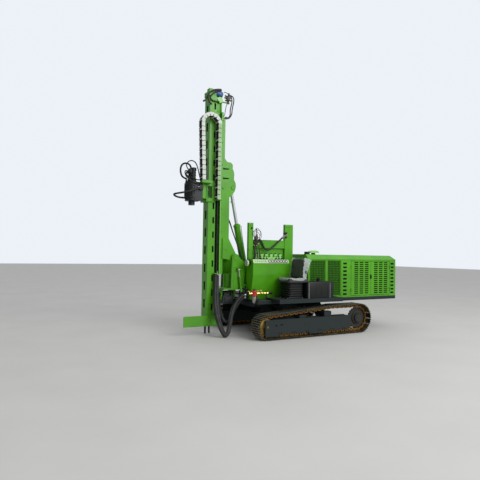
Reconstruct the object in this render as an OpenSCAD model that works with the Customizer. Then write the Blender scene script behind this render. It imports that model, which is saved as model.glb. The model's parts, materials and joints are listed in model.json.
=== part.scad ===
// Crawler pile driver rig with a mast, a rotary head and a hooded engine deck.
// Millimetres. +X is forward (the mast end), +Y is the rig's left, +Z is up.
// The origin is on the ground, under the middle of the overall length and width.

/* [Crawler tracks] */
// Distance from the centre line to the middle of each track
track_y = 1060; // [1040:5:1200]
// Width of a track shoe
shoe_w = 350; // [250:10:400]
// Number of shoes in one track
shoe_count = 52; // [48:1:56]
// Height of the three ribs over a shoe's inner face
rib_h = 35; // [25:1:45]
// Height of the link chain inside the shoes
link_h = 62; // [50:1:72]
// Width of the link chain
link_w = 110; // [90:2:130]
// Radius of the belt's inner face round the front idler
front_r = 235; // [225:1:245]
// Radius of the belt's inner face round the rear sprocket
rear_r = 305; // [300:1:312]
// Place of the front idler's axle along the rig
idler_x = 1177; // [1160:1:1190]
// Place of the sprocket's axle along the rig
sprocket_x = -1355; // [-1400:5:-1300]
// Place where the upper run starts to fall to the idler
crest_x = -600; // [-680:10:-520]

/* [Track frame] */
// Width of a track frame over its skirts
frame_w = 210; // [190:5:230]
// Top of a track frame over the ground
frame_top = 420; // [380:5:430]
// Bottom edge of the skirts over the ground
skirt_z = 102; // [100:1:120]
// Bottom edge of the skirts' guards over the ground
guard_z = 65; // [60:1:80]
// Thickness of the frame's plates
frame_t = 25; // [15:1:30]
// Rear end of the skirts along the rig
frame_rear_x = -1105; // [-1130:5:-1090]
// Radius of a bottom roller
roller_r = 68; // [60:1:72]
// Number of bottom rollers on one side
roller_count = 6; // [4:1:7]
// Radius of the final drive's hub
hub_r = 110; // [90:5:130]

/* [Deck] */
// Top of the deck plate over the ground
deck_z = 800; // [790:5:820]
// Depth of the deck's frame rails
rail_h = 80; // [70:2:85]
// Half width of the deck and of the hood
deck_half = 860; // [840:5:870]
// Rear end of the deck and the hood
rear_x = -2900; // [-2950:10:-2700]
// Front end of the deck
front_x = 1250; // [1240:5:1255]
// Top of the side platforms over the ground
step_z = 840; // [835:5:860]
// Outer edge of the side platforms
step_y = 1180; // [1150:5:1200]

/* [Hood] */
// Front face of the hood along the rig
hood_front_x = -80; // [-100:5:-60]
// Height of the hood's side walls over the deck
hood_side_h = 920; // [880:10:960]
// Rise of the hood's sloped edges
hood_slope = 100; // [60:5:120]
// Thickness of the hood's sheet
sheet_t = 6; // [4:1:10]
// Rear edge of the mesh section, where the louvred section starts
louvre_x = -1110; // [-1150:10:-1080]
// Front edge of the first door
door_x = -1380; // [-1400:5:-1370]
// Width of one door
door_w = 645; // [640:1:650]
// Gap round a door
door_gap = 8; // [7:1:10]
// Radius of a door's hinge pin
hinge_pin_r = 5; // [4:0.5:7]
// Height of a louvre slot
slot_h = 27; // [20:1:34]
// Spacing of the rows of slots on the doors
slot_pitch = 50; // [45:1:51]

/* [Seat and console] */
// Width of the seat
seat_w = 480; // [420:10:500]
// Rear edge of the seat cushion
seat_x = 103; // [95:1:130]
// Length of the seat cushion
cushion_l = 530; // [480:10:540]
// Thickness of the seat cushion
cushion_h = 95; // [80:5:110]
// Top of the cushion over the ground
cushion_z = 1285; // [1260:5:1300]
// Inner side of the console
console_in_y = 330; // [325:1:335]
// Width of the console
console_w = 300; // [270:5:310]
// Length of the console
console_l = 970; // [900:5:975]
// Top of the console over the ground
console_z = 1690; // [1650:5:1720]
// Top of the hose frame's posts over the ground
post_top = 2440; // [2300:10:2450]
// Width of the hose frame's posts
post_w = 70; // [50:5:90]

/* [Mast] */
// Width of the leader
leader_w = 268; // [240:2:300]
// Depth of the leader
leader_d = 171; // [160:1:180]
// Front face of the leader along the rig
leader_x = 2133; // [2125:1:2140]
// Bottom of the leader over the ground
leader_z = 205; // [200:5:220]
// Top of the leader's box over the ground
leader_top = 5330; // [5200:10:5400]
// Wall of the leader
leader_t = 12; // [8:1:16]
// Spacing of the slots in the leader's sides
side_pitch = 320; // [280:5:360]
// Spacing of the slots in the leader's face
face_pitch = 394; // [340:2:420]
// Width of the guide beam
guide_w = 330; // [320:2:340]
// Half width of the leader's flange, which runs in the guide beam
flange_half = 135; // [120:1:140]
// Thickness of the leader's flange
flange_t = 40; // [30:1:45]
// Distance of the guide beam's top below the leader's top
guide_drop = 480; // [430:10:600]
// Height of the tilt pin over the ground
tilt_z = 1720; // [1700:5:1740]
// Place of the tilt pin along the rig
tilt_x = 1490; // [1480:2:1500]
// Radius of the tilt pin
tilt_pin_r = 35; // [25:1:38]
// Height of the lean shaft over the ground
lean_z = 860; // [850:5:870]
// Radius of the lean shaft
lean_shaft_r = 60; // [45:1:65]

/* [Rams] */
// Outer radius of the tilt ram's barrel
tilt_barrel_r = 75; // [60:1:80]
// Length of the tilt ram's barrel from its foot pin
tilt_barrel_l = 1415; // [1380:5:1420]
// Radius of the tilt ram's rod
tilt_rod_r = 28; // [20:1:34]
// Outer radius of the lean ram's barrel
lean_barrel_r = 22; // [18:1:24]
// Radius of the lean ram's rod
lean_rod_r = 11; // [8:1:12]
// Radius of the lean ram's foot pin
lean_pin_r = 12; // [9:1:14]

/* [Drill head] */
// Distance from the leader's face to the spindle's axis
spindle_reach = 344; // [330:2:360]
// Height of the spindle's nose over the ground
spindle_z = 2860; // [2700:20:3000]
// Radius of the spindle's flange
spindle_r = 70; // [55:1:80]
// Radius of the drill tube socket in the spindle
socket_r = 32; // [25:1:38]
// Outer radius of the energy chain's bend
chain_bend_r = 240; // [235:1:260]
// Distance of the bend's top below the leader's top
chain_drop = 430; // [380:10:530]
// Depth of a chain link
chain_d = 83; // [70:1:90]
// Width of the energy chain
chain_w = 145; // [90:5:150]
// Length of one link of the energy chain
chain_pitch = 105; // [90:5:120]

/* [Hidden] */

body_green = [0.30, 0.68, 0.14];
frame_dark = [0.16, 0.20, 0.23];
steel = [0.62, 0.63, 0.64];
chrome = [0.80, 0.81, 0.83];
rust = [0.58, 0.40, 0.17];
black = [0.08, 0.08, 0.09];
rubber = [0.12, 0.12, 0.13];
grille_black = [0.10, 0.11, 0.11];
lamp_white = [0.90, 0.90, 0.88];
red = [0.75, 0.12, 0.10];
brass = [0.78, 0.62, 0.28];
motor_blue = [0.20, 0.36, 0.62];

$fn = 48;
eps = 1;
run_gap = 0.05;
side_gap = 5;
seat_gap = 0.3;

// Mirrored copies on both sides of the rig
module both_sides() {
    children();
    mirror([0, 1, 0]) children();
}

// A flat plate with its outline in the XZ plane, from y0 to y1
module side_plate(points, y0, y1) {
    translate([0, y1, 0]) rotate([90, 0, 0])
        linear_extrude(y1 - y0) polygon(points);
}

// A rod along Y at a place in the XZ plane, from y0 to y1
module cross_rod(x, z, r, y0, y1) {
    translate([x, y1, z]) rotate([90, 0, 0]) cylinder(r = r, h = y1 - y0);
}

// A rod along X at a place in the YZ plane, from x0 to x1
module long_rod(y, z, r, x0, x1) {
    translate([x0, y, z]) rotate([0, 90, 0]) cylinder(r = r, h = x1 - x0);
}

// A box from its low corner to its high corner
module block(low, high) {
    translate(low) cube(high - low);
}

// Track belt: discs at the sprocket, the crest and the idler, and the runs between them
front_z = front_r + rib_h;
rear_z = rear_r + rib_h;
function fall_angle() =
    atan2(front_z - rear_z, idler_x - crest_x)
    + acos((rear_r - front_r) / norm([idler_x - crest_x, front_z - rear_z]));
function fall_length() =
    sqrt(pow(idler_x - crest_x, 2) + pow(front_z - rear_z, 2) - pow(rear_r - front_r, 2));
function arc_length(r, degrees) = r * degrees * PI / 180;
run_lengths = [
    idler_x - sprocket_x,
    arc_length(front_r, 90 + fall_angle()),
    fall_length(),
    arc_length(rear_r, 90 - fall_angle()),
    crest_x - sprocket_x,
    arc_length(rear_r, 180)
];
function sum_to(list, n) = n <= 0 ? 0 : list[n - 1] + sum_to(list, n - 1);
belt_length = sum_to(run_lengths, len(run_lengths));
shoe_pitch = belt_length / shoe_count;

function on_arc(cx, cz, r, angle, out) =
    [cx + (r + out) * cos(angle), cz + (r + out) * sin(angle)];
function on_line(start, direction, along, out) =
    start + direction * along + [direction[1], -direction[0]] * out;

// Point on the belt at a distance along it and a height out of its inner face
function belt_point(s, out) =
    let (
        w = s < 0 ? s + belt_length : s >= belt_length ? s - belt_length : s,
        a = fall_angle(),
        s1 = sum_to(run_lengths, 1), s2 = sum_to(run_lengths, 2),
        s3 = sum_to(run_lengths, 3), s4 = sum_to(run_lengths, 4),
        s5 = sum_to(run_lengths, 5)
    )
    w < s1 ? on_line([sprocket_x, rib_h], [1, 0], w, out)
    : w < s2 ? on_arc(idler_x, front_z, front_r, -90 + (w - s1) / front_r * 180 / PI, out)
    : w < s3 ? on_line(on_arc(idler_x, front_z, front_r, a, 0),
        [-sin(a), cos(a)], w - s2, out)
    : w < s4 ? on_arc(crest_x, rear_z, rear_r, a + (w - s3) / rear_r * 180 / PI, out)
    : w < s5 ? on_line([crest_x, rear_z + rear_r], [-1, 0], w - s4, out)
    : on_arc(sprocket_x, rear_z, rear_r, 90 + (w - s5) / rear_r * 180 / PI, out);

// One shoe in its own section: share of the pitch along it, share of the rib height
shoe_section = [
    [-0.475, 0.15], [-0.37, 1], [-0.2, 0.34], [0, 1], [0.2, 0.34], [0.37, 1], [0.475, 0.15]
];
// One link in its own section: share of the pitch along it, share of the link height inwards
link_tread = 0.7;
link_section = [[-0.42, 1], [-0.42 + link_tread, 1], [0.36, 0.8], [0.5, 0.8]];

module track() {
    difference() {
        side_plate([for (i = [0 : shoe_count - 1], p = shoe_section)
            belt_point((i + p[0]) * shoe_pitch, p[1] * rib_h)],
            track_y - shoe_w / 2, track_y + shoe_w / 2);
        side_plate([for (i = [0 : shoe_count - 1], p = link_section)
            belt_point((i + p[0]) * shoe_pitch, -p[1] * link_h)],
            track_y - link_w / 2, track_y + link_w / 2);
        for (side = [-1, 1])
            side_plate([for (i = [0 : shoe_count - 1])
                belt_point(i * shoe_pitch, 0)],
                track_y + side * (link_w + shoe_w) / 4 - (shoe_w - link_w) / 4 - (side < 0 ? eps : 0),
                track_y + side * (link_w + shoe_w) / 4 + (shoe_w - link_w) / 4 + (side > 0 ? eps : 0));
    }
}

module track_left() { color(rust) track(); }
module track_right() { color(rust) mirror([0, 1, 0]) track(); }

// Track frame: an inverted trough with end forks, skid posts and bottom rollers
tread_gap = 0.4;
// Radius inside the straight treads of the links on a bend
function tread_r(r) = (r - link_h) * cos(link_tread / 2 * shoe_pitch / r * 180 / PI) - tread_gap;
idler_r = tread_r(front_r);
sprocket_r = tread_r(rear_r);
skirt_in = frame_w / 2 - frame_t;
axle_r = 26;
idler_clear_x = idler_x - idler_r - 20;
sprocket_clear_x = sprocket_x + sprocket_r + 20;
cross_beams = [[166, 340], [-550, -350]]; // low x, high x
function post_top_z(x) =
    rear_z + rear_r - max(0, x - crest_x) / tan(fall_angle()) - link_h - 30;

module frame_skirt(y0, y1) {
    side_plate([
        [frame_rear_x, skirt_z + 40], [frame_rear_x + 60, skirt_z], [-310, skirt_z], [-300, guard_z],
        [90, guard_z], [100, skirt_z], [idler_x - 297, skirt_z], [idler_x - 287, guard_z],
        [idler_x + 33, guard_z], [idler_x + 63, guard_z + 40], [idler_x + 63, frame_top - 20],
        [idler_x + 43, frame_top], [frame_rear_x + 40, frame_top], [frame_rear_x, frame_top - 40]
    ], y0, y1);
}

module track_frame() {
    difference() {
        union() {
            for (side = [-1, 1])
                frame_skirt(track_y + (side < 0 ? -frame_w / 2 : skirt_in),
                    track_y + (side < 0 ? -skirt_in : frame_w / 2));
            block([sprocket_clear_x, track_y - skirt_in - eps, frame_top - 40],
                [idler_clear_x, track_y + skirt_in + eps, frame_top - 12]);
            for (p = cross_beams)
                block([p[0], track_y - 70, frame_top - 12 - eps],
                    [p[1], track_y + 70, post_top_z(p[1])]);
        }
        cross_rod(idler_x, front_z, axle_r, track_y - frame_w, track_y + frame_w);
    }
    // Final drive on the inner plate, behind the skirts
    side_plate([
        [frame_rear_x + eps, 180], [sprocket_x - 90, 240], [sprocket_x - 120, rear_z],
        [sprocket_x - 90, 460], [frame_rear_x + eps, frame_top - 50]
    ], track_y - frame_w / 2, track_y - skirt_in);
    cross_rod(sprocket_x, rear_z, 95, track_y - frame_w / 2 - 60, track_y - 45 - seat_gap);
    // Bottom rollers with their axles between the skirts
    for (i = [0 : roller_count - 1]) {
        x = -900 + i * (idler_clear_x - 137 + 900) / (roller_count - 1);
        z = rib_h + link_h + tread_gap + roller_r;
        cross_rod(x, z, roller_r, track_y - 62, track_y + 62);
        cross_rod(x, z, 20, track_y - skirt_in - eps, track_y + skirt_in + eps);
    }
}

module track_frame_left() { color(frame_dark) track_frame(); }
module track_frame_right() { color(frame_dark) mirror([0, 1, 0]) track_frame(); }

module idler() {
    difference() {
        union() {
            cross_rod(idler_x, front_z, idler_r, track_y - 52, track_y + 52);
            cross_rod(idler_x, front_z, 70, track_y - 75, track_y + 75);
        }
        for (side = [-1, 1])
            translate([idler_x, track_y + side * 53, front_z]) rotate([90, 0, 0])
                difference() {
                    cylinder(r = idler_r - 35, h = 40, center = true);
                    cylinder(r = 85, h = 42, center = true);
                }
    }
    cross_rod(idler_x, front_z, axle_r - run_gap, track_y - frame_w / 2, track_y + frame_w / 2);
}

module idler_left() { color(rust) idler(); }
module idler_right() { color(rust) mirror([0, 1, 0]) idler(); }

tooth_count = 21;
module sprocket() {
    difference() {
        union() {
            cross_rod(sprocket_x, rear_z, sprocket_r, track_y - 22, track_y + 22);
            cross_rod(sprocket_x, rear_z, hub_r, track_y - 45, track_y + 92);
            cross_rod(sprocket_x, rear_z, hub_r - 30, track_y + 92 - eps, track_y + 104);
        }
        for (i = [0 : tooth_count - 1])
            translate([sprocket_x, track_y, rear_z]) rotate([0, i * 360 / tooth_count, 0])
                translate([sprocket_r + 8, 0, 0]) rotate([90, 0, 0])
                    cylinder(r = 22, h = 60, center = true);
    }
}

module sprocket_left() { color(rust) sprocket(); }
module sprocket_right() { color(rust) mirror([0, 1, 0]) sprocket(); }

// Centre frame: two gull-wing cross beams and a box under the deck
frame_in_y = track_y - frame_w / 2;
wing_top = deck_z - rail_h;
wing_section = [
    [0, wing_top], [frame_in_y - 255, wing_top], [frame_in_y - 85, 540], [frame_in_y, 470],
    [frame_in_y, 290], [frame_in_y - 95, 330], [frame_in_y - 265, 560], [0, 580]
];

module centre_frame() color(frame_dark) {
    for (beam = cross_beams)
        both_sides() translate([beam[0], 0, 0]) rotate([90, 0, 90])
            linear_extrude(beam[1] - beam[0]) polygon(wing_section);
    block([cross_beams[1][0] - 200, -main_beam_y + 20, 590], [front_x - 250, main_beam_y - 20, wing_top]);
}

// Deck: a plate on two main beams, side sills and cross members
main_beam_y = 320;
lean_foot = [1372, 965]; // x, z
lean_eye = [1430, 1450]; // x, z
lean_ram_y = 320;
fork_in = 30;
fork_t = 12;
cross_members = [-2500, -1900, -1300, -700, -100, 500, 1000];
nose_x = 1462;

module deck_frame() color(frame_dark) {
    block([rear_x, -deck_half, deck_z - 10], [front_x, deck_half, deck_z]);
    both_sides() {
        block([rear_x, deck_half - 60, deck_z - rail_h], [front_x, deck_half, deck_z - 9]);
        block([rear_x, main_beam_y - 40, deck_z - rail_h], [front_x, main_beam_y + 40, deck_z - 9]);
    }
    for (x = concat(cross_members, [rear_x + 30, front_x - 30]))
        block([x - 30, -deck_half + 59, deck_z - rail_h + 8], [x + 30, deck_half - 59, deck_z - 9]);
    // Nose, lower in its middle where the mast's bracket leans over it
    block([front_x - eps, -370, deck_z - 100], [nose_x, 370, lean_z - 100]);
    both_sides() block([front_x - eps, 170, lean_z - 101], [nose_x, 370, deck_z]);
    // Foot clevis of the lean ram
    difference() {
        for (x = [lean_foot[0] - fork_in - fork_t, lean_foot[0] + fork_in])
            block([x, lean_ram_y - 30, deck_z - eps], [x + fork_t, lean_ram_y + 30, lean_foot[1] + 28]);
        long_rod(lean_ram_y, lean_foot[1], lean_pin_r + run_gap, lean_foot[0] - 60, lean_foot[0] + 60);
    }
}

step_x = [-850, 900];
step_in_y = 640;
module side_platforms() color(frame_dark) both_sides() {
    block([step_x[0], deck_half + seat_gap, step_z - 90], [step_x[1], step_y, step_z]);
    block([hood_front_x + 10, step_in_y, deck_z + seat_gap], [step_x[1], deck_half + eps, step_z]);
}

// Pivot housing on the deck's nose, with a bore along the rig and two round ears
housing_x = [1465, 1738];
module pivot_housing() color(steel) difference() {
    union() {
            block([nose_x + seat_gap, -150, lean_z - 180], [housing_x[1], 150, lean_z]);
        long_rod(0, lean_z, 105, housing_x[0], housing_x[1]);
        for (x = [housing_x[0] + 30, housing_x[1] - 70])
            for (y = [-150, 120])
                hull() {
                    block([x, y, lean_z - eps], [x + 40, y + 30, lean_z]);
                    cross_rod(x + 20, lean_z + 50, 20, y, y + 30);
                }
    }
    long_rod(0, lean_z, lean_shaft_r + run_gap, housing_x[0] - 10, housing_x[1] + 10);
}

// Hood: a shell with sloped top edges, window and door openings in both sides
hood_top = deck_z + hood_side_h + hood_slope;
hood_side_z = deck_z + hood_side_h;
hood_base = deck_z + seat_gap;
door_low = deck_z + 40;
door_high = hood_side_z - 50;
mesh_windows = [[-590, -130], [-1060, -650]]; // low x, high x
slot_column_a = [-1230, -1150];
slot_column_b = [-2820, -2735];

// Solid outline of the hood: its cross section met by its side view, both set in by a wall
module hood_block(inset, low) {
    h = deck_half - inset;
    bend = inset * tan(22.5);
    intersection() {
        translate([rear_x, 0, 0]) rotate([90, 0, 90]) linear_extrude(hood_front_x - rear_x)
            polygon([
                [-h, low], [-h, hood_side_z - bend], [-h + hood_slope, hood_top - inset],
                [h - hood_slope, hood_top - inset], [h, hood_side_z - bend], [h, low]
            ]);
        side_plate([
            [rear_x + inset, low], [rear_x + inset, hood_side_z - bend],
            [rear_x + inset + hood_slope, hood_top - inset],
            [hood_front_x - inset, hood_top - inset], [hood_front_x - inset, low]
        ], -deck_half, deck_half);
    }
}

// Hinges: straps with round knuckles, the hood's with the pin and the door's with the bore
hinge_r = hinge_pin_r + 4;
hinge_y = deck_half + hinge_r + 2;
hinge_x = [door_x - door_gap / 2, door_x - 2 * door_w - 2.5 * door_gap];
hinge_z = [door_low + 90, door_high - 180];
strap_l = 45;
knuckle_h = 40;
// End i is 0 at the front hinge, 1 at the rear hinge; side is the way its strap points along X
module hinge_leaf(i, side, z) {
    block([hinge_x[i] + (side < 0 ? -strap_l : door_gap / 2), deck_half - eps, z],
        [hinge_x[i] + (side < 0 ? -door_gap / 2 : strap_l), deck_half + 4, z + knuckle_h]);
    block([hinge_x[i] + (side < 0 ? -hinge_r : 0), deck_half + 1, z],
        [hinge_x[i] + (side < 0 ? 0 : hinge_r), hinge_y, z + knuckle_h]);
    translate([hinge_x[i], hinge_y, z]) cylinder(r = hinge_r, h = knuckle_h);
}

module hood_shell() color(body_green) {
    difference() {
        hood_block(0, hood_base);
        hood_block(sheet_t, hood_base - eps);
        both_sides() {
            for (w = mesh_windows)
                block([w[0], deck_half - 40, door_low], [w[1], deck_half + 40, door_high + 20]);
            block([door_x - 2 * door_w - 3 * door_gap, deck_half - 40, door_low - door_gap],
                [door_x, deck_half + 40, door_high + door_gap]);
            for (i = [0 : 8], column = [slot_column_a, slot_column_b])
                block([column[0], deck_half - 40, door_low + 25 + i * 92],
                    [column[1], deck_half + 40, door_low + 25 + i * 92 + slot_h]);
        }
    }
    both_sides()
        for (i = [0, 1], z = hinge_z) {
            hinge_leaf(i, 1 - 2 * i, z);
            translate([hinge_x[i], hinge_y, z]) cylinder(r = hinge_pin_r, h = 2 * knuckle_h);
        }
}

module hood_mesh() color(grille_black) both_sides() {
    for (w = mesh_windows)
        difference() {
            block([w[0] + seat_gap, deck_half - 14, door_low + seat_gap],
                [w[1] - seat_gap, deck_half - 4, door_high + 20 - seat_gap]);
            for (x = [w[0] + 20 : 40 : w[1] - 20])
                block([x, deck_half - 40, door_low + 20], [x + 20, deck_half, door_high]);
        }
}

// A louvred door whose hinge is at the front for i = 0 and at the rear for i = 1
module slotted_door(i) {
    x0 = door_x - (i + 1) * (door_gap + door_w);
    difference() {
        block([x0, deck_half - 28, door_low], [x0 + door_w, deck_half, door_high]);
        block([x0 + 12, deck_half - 30, door_low + 12],
            [x0 + door_w - 12, deck_half - sheet_t, door_high - 12]);
        for (column = [0 : 2], row = [0 : 15])
            translate([x0 + 75 + column * 170, 0, door_low + 35 + row * slot_pitch])
                block([0, deck_half - 40, 0], [125, deck_half + 10, slot_h]);
    }
    difference() {
        for (z = hinge_z) hinge_leaf(i, 2 * i - 1, z + knuckle_h + 1);
        translate([hinge_x[i], hinge_y, door_low])
            cylinder(r = hinge_pin_r + run_gap, h = door_high - door_low);
    }
}

module door_left_front() { color(body_green) slotted_door(0); }
module door_left_rear() { color(body_green) slotted_door(1); }
module door_right_front() { color(body_green) mirror([0, 1, 0]) slotted_door(0); }
module door_right_rear() { color(body_green) mirror([0, 1, 0]) slotted_door(1); }

module engine_block() color(black)
    block([rear_x + 250, -deck_half + 440, hood_base], [louvre_x - 140, deck_half - 440, hood_top - 320]);

module cooler() color(black)
    block([louvre_x + 110, -deck_half + 160, hood_base],
        [hood_front_x - 170, deck_half - 160, hood_top - 220]);

exhaust_at = [hood_front_x - 220, deck_half - 510, hood_top + seat_gap];
module exhaust() color(black) {
    translate(exhaust_at) cylinder(r = 60, h = 30);
    translate(exhaust_at + [0, 0, 30 - eps]) cylinder(r = 90, h = 40);
}

// Operator's place
console_x1 = front_x - 5;
console_x0 = console_x1 - console_l;
console_out_y = console_in_y + console_w;
console_top_y = console_out_y - 40;
module console() color(body_green)
    translate([console_x0, 0, 0]) rotate([90, 0, 90]) linear_extrude(console_l)
        polygon([
            [console_in_y, hood_base], [console_out_y - 120, hood_base],
            [console_out_y, console_z - 340], [console_out_y, console_z - 90],
            [console_top_y, console_z], [console_in_y, console_z]
        ]);

levers = [[150, 70], [230, 55], [310, 70], [560, 60], [640, 75], [720, 60]]; // place, height
module console_controls() color(chrome)
    for (lever = levers)
        translate([console_x0 + lever[0], console_top_y - 60, console_z + seat_gap]) {
            cylinder(r = 14, h = 16);
            cylinder(r = 6, h = lever[1]);
            translate([0, 0, lever[1]]) sphere(r = 13);
        }

// Round lamp on the console's front face, with a foot behind it
lamp_x = console_x1 + seat_gap;
lamp_y = console_in_y + 150;
lamp_z = console_z - 85;
module work_lamp() color(lamp_white) {
    translate([lamp_x + 25, lamp_y, lamp_z]) rotate([0, 90, 0]) rotate_extrude()
        polygon([[0, 0], [30, 0], [52, 18], [62, 40], [62, 65], [54, 65], [0, 72]]);
    block([lamp_x, lamp_y - 15, lamp_z - 15], [lamp_x + 30, lamp_y + 15, lamp_z + 15]);
}

// Seat on a bellows with a dark foot
seat_y = console_out_y + 20 + seat_w / 2;
fold_count = 6;
fold_z = step_z + 40;
fold_h = (cushion_z - cushion_h - seat_gap - fold_z) / fold_count;
module seat_base() color(rubber) {
    for (i = [0 : fold_count - 1])
        hull() {
            block([seat_x + 105, seat_y - 180, fold_z + i * fold_h], [seat_x + 485, seat_y + 180,
                fold_z + (i + 1) * fold_h]);
            block([seat_x + 87, seat_y - 198, fold_z + (i + 0.35) * fold_h],
                [seat_x + 503, seat_y + 198, fold_z + (i + 0.65) * fold_h]);
        }
    block([seat_x + 115, seat_y - 170, step_z + seat_gap], [seat_x + 475, seat_y + 170, fold_z + eps]);
}

module seat() color(rubber) {
    block([seat_x, seat_y - seat_w / 2, cushion_z - cushion_h],
        [seat_x + cushion_l, seat_y + seat_w / 2, cushion_z]);
    side_plate([
        [seat_x + 60, cushion_z - eps], [seat_x + 190, cushion_z - eps],
        [seat_x + 130, cushion_z + 430], [seat_x + 10, cushion_z + 430]
    ], seat_y - seat_w / 2, seat_y + seat_w / 2);
}

// A box tank on a side platform with rounded upper edges and a filler
module side_tank(x0, x1, h) {
    w = step_y - deck_half - 20;
    translate([x0, deck_half + 20, step_z + seat_gap]) rotate([90, 0, 90]) linear_extrude(x1 - x0)
        hull() {
            square([w, 20]);
            for (y = [35, w - 35]) translate([y, h - 35]) circle(r = 35, $fn = 32);
        }
    translate([(x0 + x1) / 2, deck_half + 20 + w / 2, step_z + h - eps]) cylinder(r = 38, h = 40);
}

module fuel_tank() color(black) side_tank(-570, seat_x - 23, 370);
module oil_tank() color(body_green) mirror([0, 1, 0]) side_tank(-500, 500, 500);

lubricator = [front_x + 40, deck_half - 220, deck_z + 80];
module air_lubricator() color(red) {
    translate(lubricator) cylinder(r = 36, h = 75);
    translate(lubricator - [0, 0, 190]) cylinder(r = 28, h = 190 + eps);
    long_rod(lubricator[1], lubricator[2] + 40, 12, front_x - 65, lubricator[0]);
    block([front_x - 80, lubricator[1] - 12, deck_z + seat_gap],
        [front_x - 50, lubricator[1] + 12, lubricator[2] + 40]);
}

// Frame that carries the hoses: a rear post on the deck, a front post on the console, a bar
// and a sheet behind the valves
post_y = console_in_y + 5;
rear_post = [34, console_x0 - 11]; // low x, high x
front_post = [console_x1 - 120, console_x1];
bar_z = [post_top - 490, post_top - 310];
back_t = 12;
module hose_frame() color(body_green) difference() {
    union() {
        block([rear_post[0], post_y, hood_base], [rear_post[1], post_y + post_w, post_top]);
        block([front_post[0], post_y, console_z + seat_gap], [front_post[1], post_y + post_w, post_top]);
        block([rear_post[1] - eps, post_y + 10, bar_z[0]],
            [front_post[0] + eps, post_y + post_w - 10, bar_z[1]]);
        block([rear_post[1] - eps, post_y, console_z + seat_gap],
            [front_post[0] + eps, post_y + back_t, bar_z[0] + 60]);
    }
    cross_rod(front_post[0] + 45, post_top - 50, 22, post_y - 10, post_y + post_w + 10);
    block([rear_post[1] - 40, post_y - 10, post_top - 270], [rear_post[1] - 18, post_y + post_w + 10,
        post_top - 130]);
}

// Valve bank on the console under the bar: a rail with a row of blocks
valve_count = 6;
valve_pitch = 125;
module valve_bank() color(lamp_white) {
    block([rear_post[1] + 60, post_y + back_t + seat_gap, console_z + seat_gap],
        [rear_post[1] + 60 + valve_count * valve_pitch, post_y + post_w, console_z + 50]);
    for (i = [0 : valve_count - 1])
        block([rear_post[1] + 75 + i * valve_pitch, post_y + back_t + 5, console_z + 50 - eps],
            [rear_post[1] + 155 + i * valve_pitch, post_y + post_w - 5, console_z + 120]);
}

// Valve on the bar, with its lever, and the hose that sags from it to the rear post
valve_x = [front_post[0] - 125, front_post[0] - 25];
valve_y = [post_y + post_w - 10 + seat_gap, post_y + post_w + 50];
module post_valve() color(steel) {
    block([valve_x[0], valve_y[0], bar_z[0] + 50], [valve_x[1], valve_y[1], bar_z[1] + 100]);
    translate([valve_x[0] + 40, valve_y[0] + 30, bar_z[1] + 99]) cylinder(r = 9, h = 130);
    translate([valve_x[0] + 40, valve_y[0] + 30, bar_z[1] + 228]) sphere(r = 18);
}

frame_route = [
    [valve_x[0] - seat_gap, 430, 2130], [972, 430, 2130], [935, 431, 2108], [900, 432, 2050],
    [870, 433, 1985], [830, 433, 1930], [780, 433, 1908], [720, 433, 1915], [650, 434, 1950],
    [570, 435, 2010], [490, 436, 2080], [410, 437, 2150], [340, 437, 2206], [285, 434, 2240],
    [245, 428, 2254], [235, 422, 2256], [235, post_y + post_w + seat_gap, 2256]
];
module frame_hose() color(rubber) hose(frame_route, 20, 10);

// Bracket that leans on the shaft and carries the mast pin and the tilt ram
bracket_y = [237.5, 262.5];
bracket_base = 1000;
bracket_t = 30;
bracket_x = [1250, 1775];
cheeks = [[bracket_x[1] - 30, bracket_x[1]], [1415, 1458]]; // low x, high x
tilt_foot = [1050, bracket_base + 90]; // x, z
tilt_eye = [1513, 3310]; // x, z
tail_x = tilt_foot[0] - 90;

module bracket() color(body_green) {
    difference() {
        union() {
            block([bracket_x[0], -bracket_y[1], bracket_base],
                [bracket_x[1], bracket_y[1], bracket_base + bracket_t]);
            block([tail_x, -110, bracket_base], [bracket_x[0] + eps, 110, bracket_base + bracket_t]);
            for (x = cheeks)
                translate([x[0], 0, 0]) rotate([90, 0, 90]) linear_extrude(x[1] - x[0])
                    polygon([[-150, bracket_base + eps], [-100, lean_z - 85], [100, lean_z - 85],
                        [150, bracket_base + eps]]);
            both_sides() hull() {
                cross_rod(tilt_x, tilt_z, tilt_pin_r + 50, bracket_y[0], bracket_y[1]);
                block([bracket_x[0], bracket_y[0], bracket_base],
                    [tilt_x + 110, bracket_y[1], bracket_base + bracket_t]);
            }
            translate([1545, 0, bracket_base + bracket_t - eps]) cylinder(r = 110, h = 300);
            both_sides() hull() {
                cross_rod(tilt_foot[0], tilt_foot[1], 55, 70, 95);
                block([tail_x + 20, 70, bracket_base], [tilt_foot[0] + 150, 95, bracket_base + bracket_t]);
            }
            // Fork for the lean ram's eye
            for (x = [lean_eye[0] - fork_in - fork_t, lean_eye[0] + fork_in])
                block([x, bracket_y[1] - eps, lean_eye[1] - 30],
                    [x + fork_t, lean_ram_y + 30, lean_eye[1] + 30]);
        }
        cross_rod(tilt_x, tilt_z, tilt_pin_r + run_gap, -300, 300);
        long_rod(0, lean_z, lean_shaft_r + run_gap, cheeks[1][0] - 10, cheeks[0][1] + 10);
        cross_rod(tilt_foot[0], tilt_foot[1], tilt_foot_r + run_gap, -120, 120);
    }
    long_rod(lean_ram_y, lean_eye[1], 9, lean_eye[0] - fork_in - fork_t - 8,
        lean_eye[0] + fork_in + fork_t + 8);
}

module lean_shaft() color(steel) {
    long_rod(0, lean_z, lean_shaft_r, cheeks[1][0] - 12, cheeks[0][1] + 12);
    long_rod(0, lean_z, lean_shaft_r + 18, cheeks[1][0] - 12, cheeks[1][0] - seat_gap);
    long_rod(0, lean_z, lean_shaft_r + 18, cheeks[0][1] + seat_gap, cheeks[0][1] + 12);
}

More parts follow.
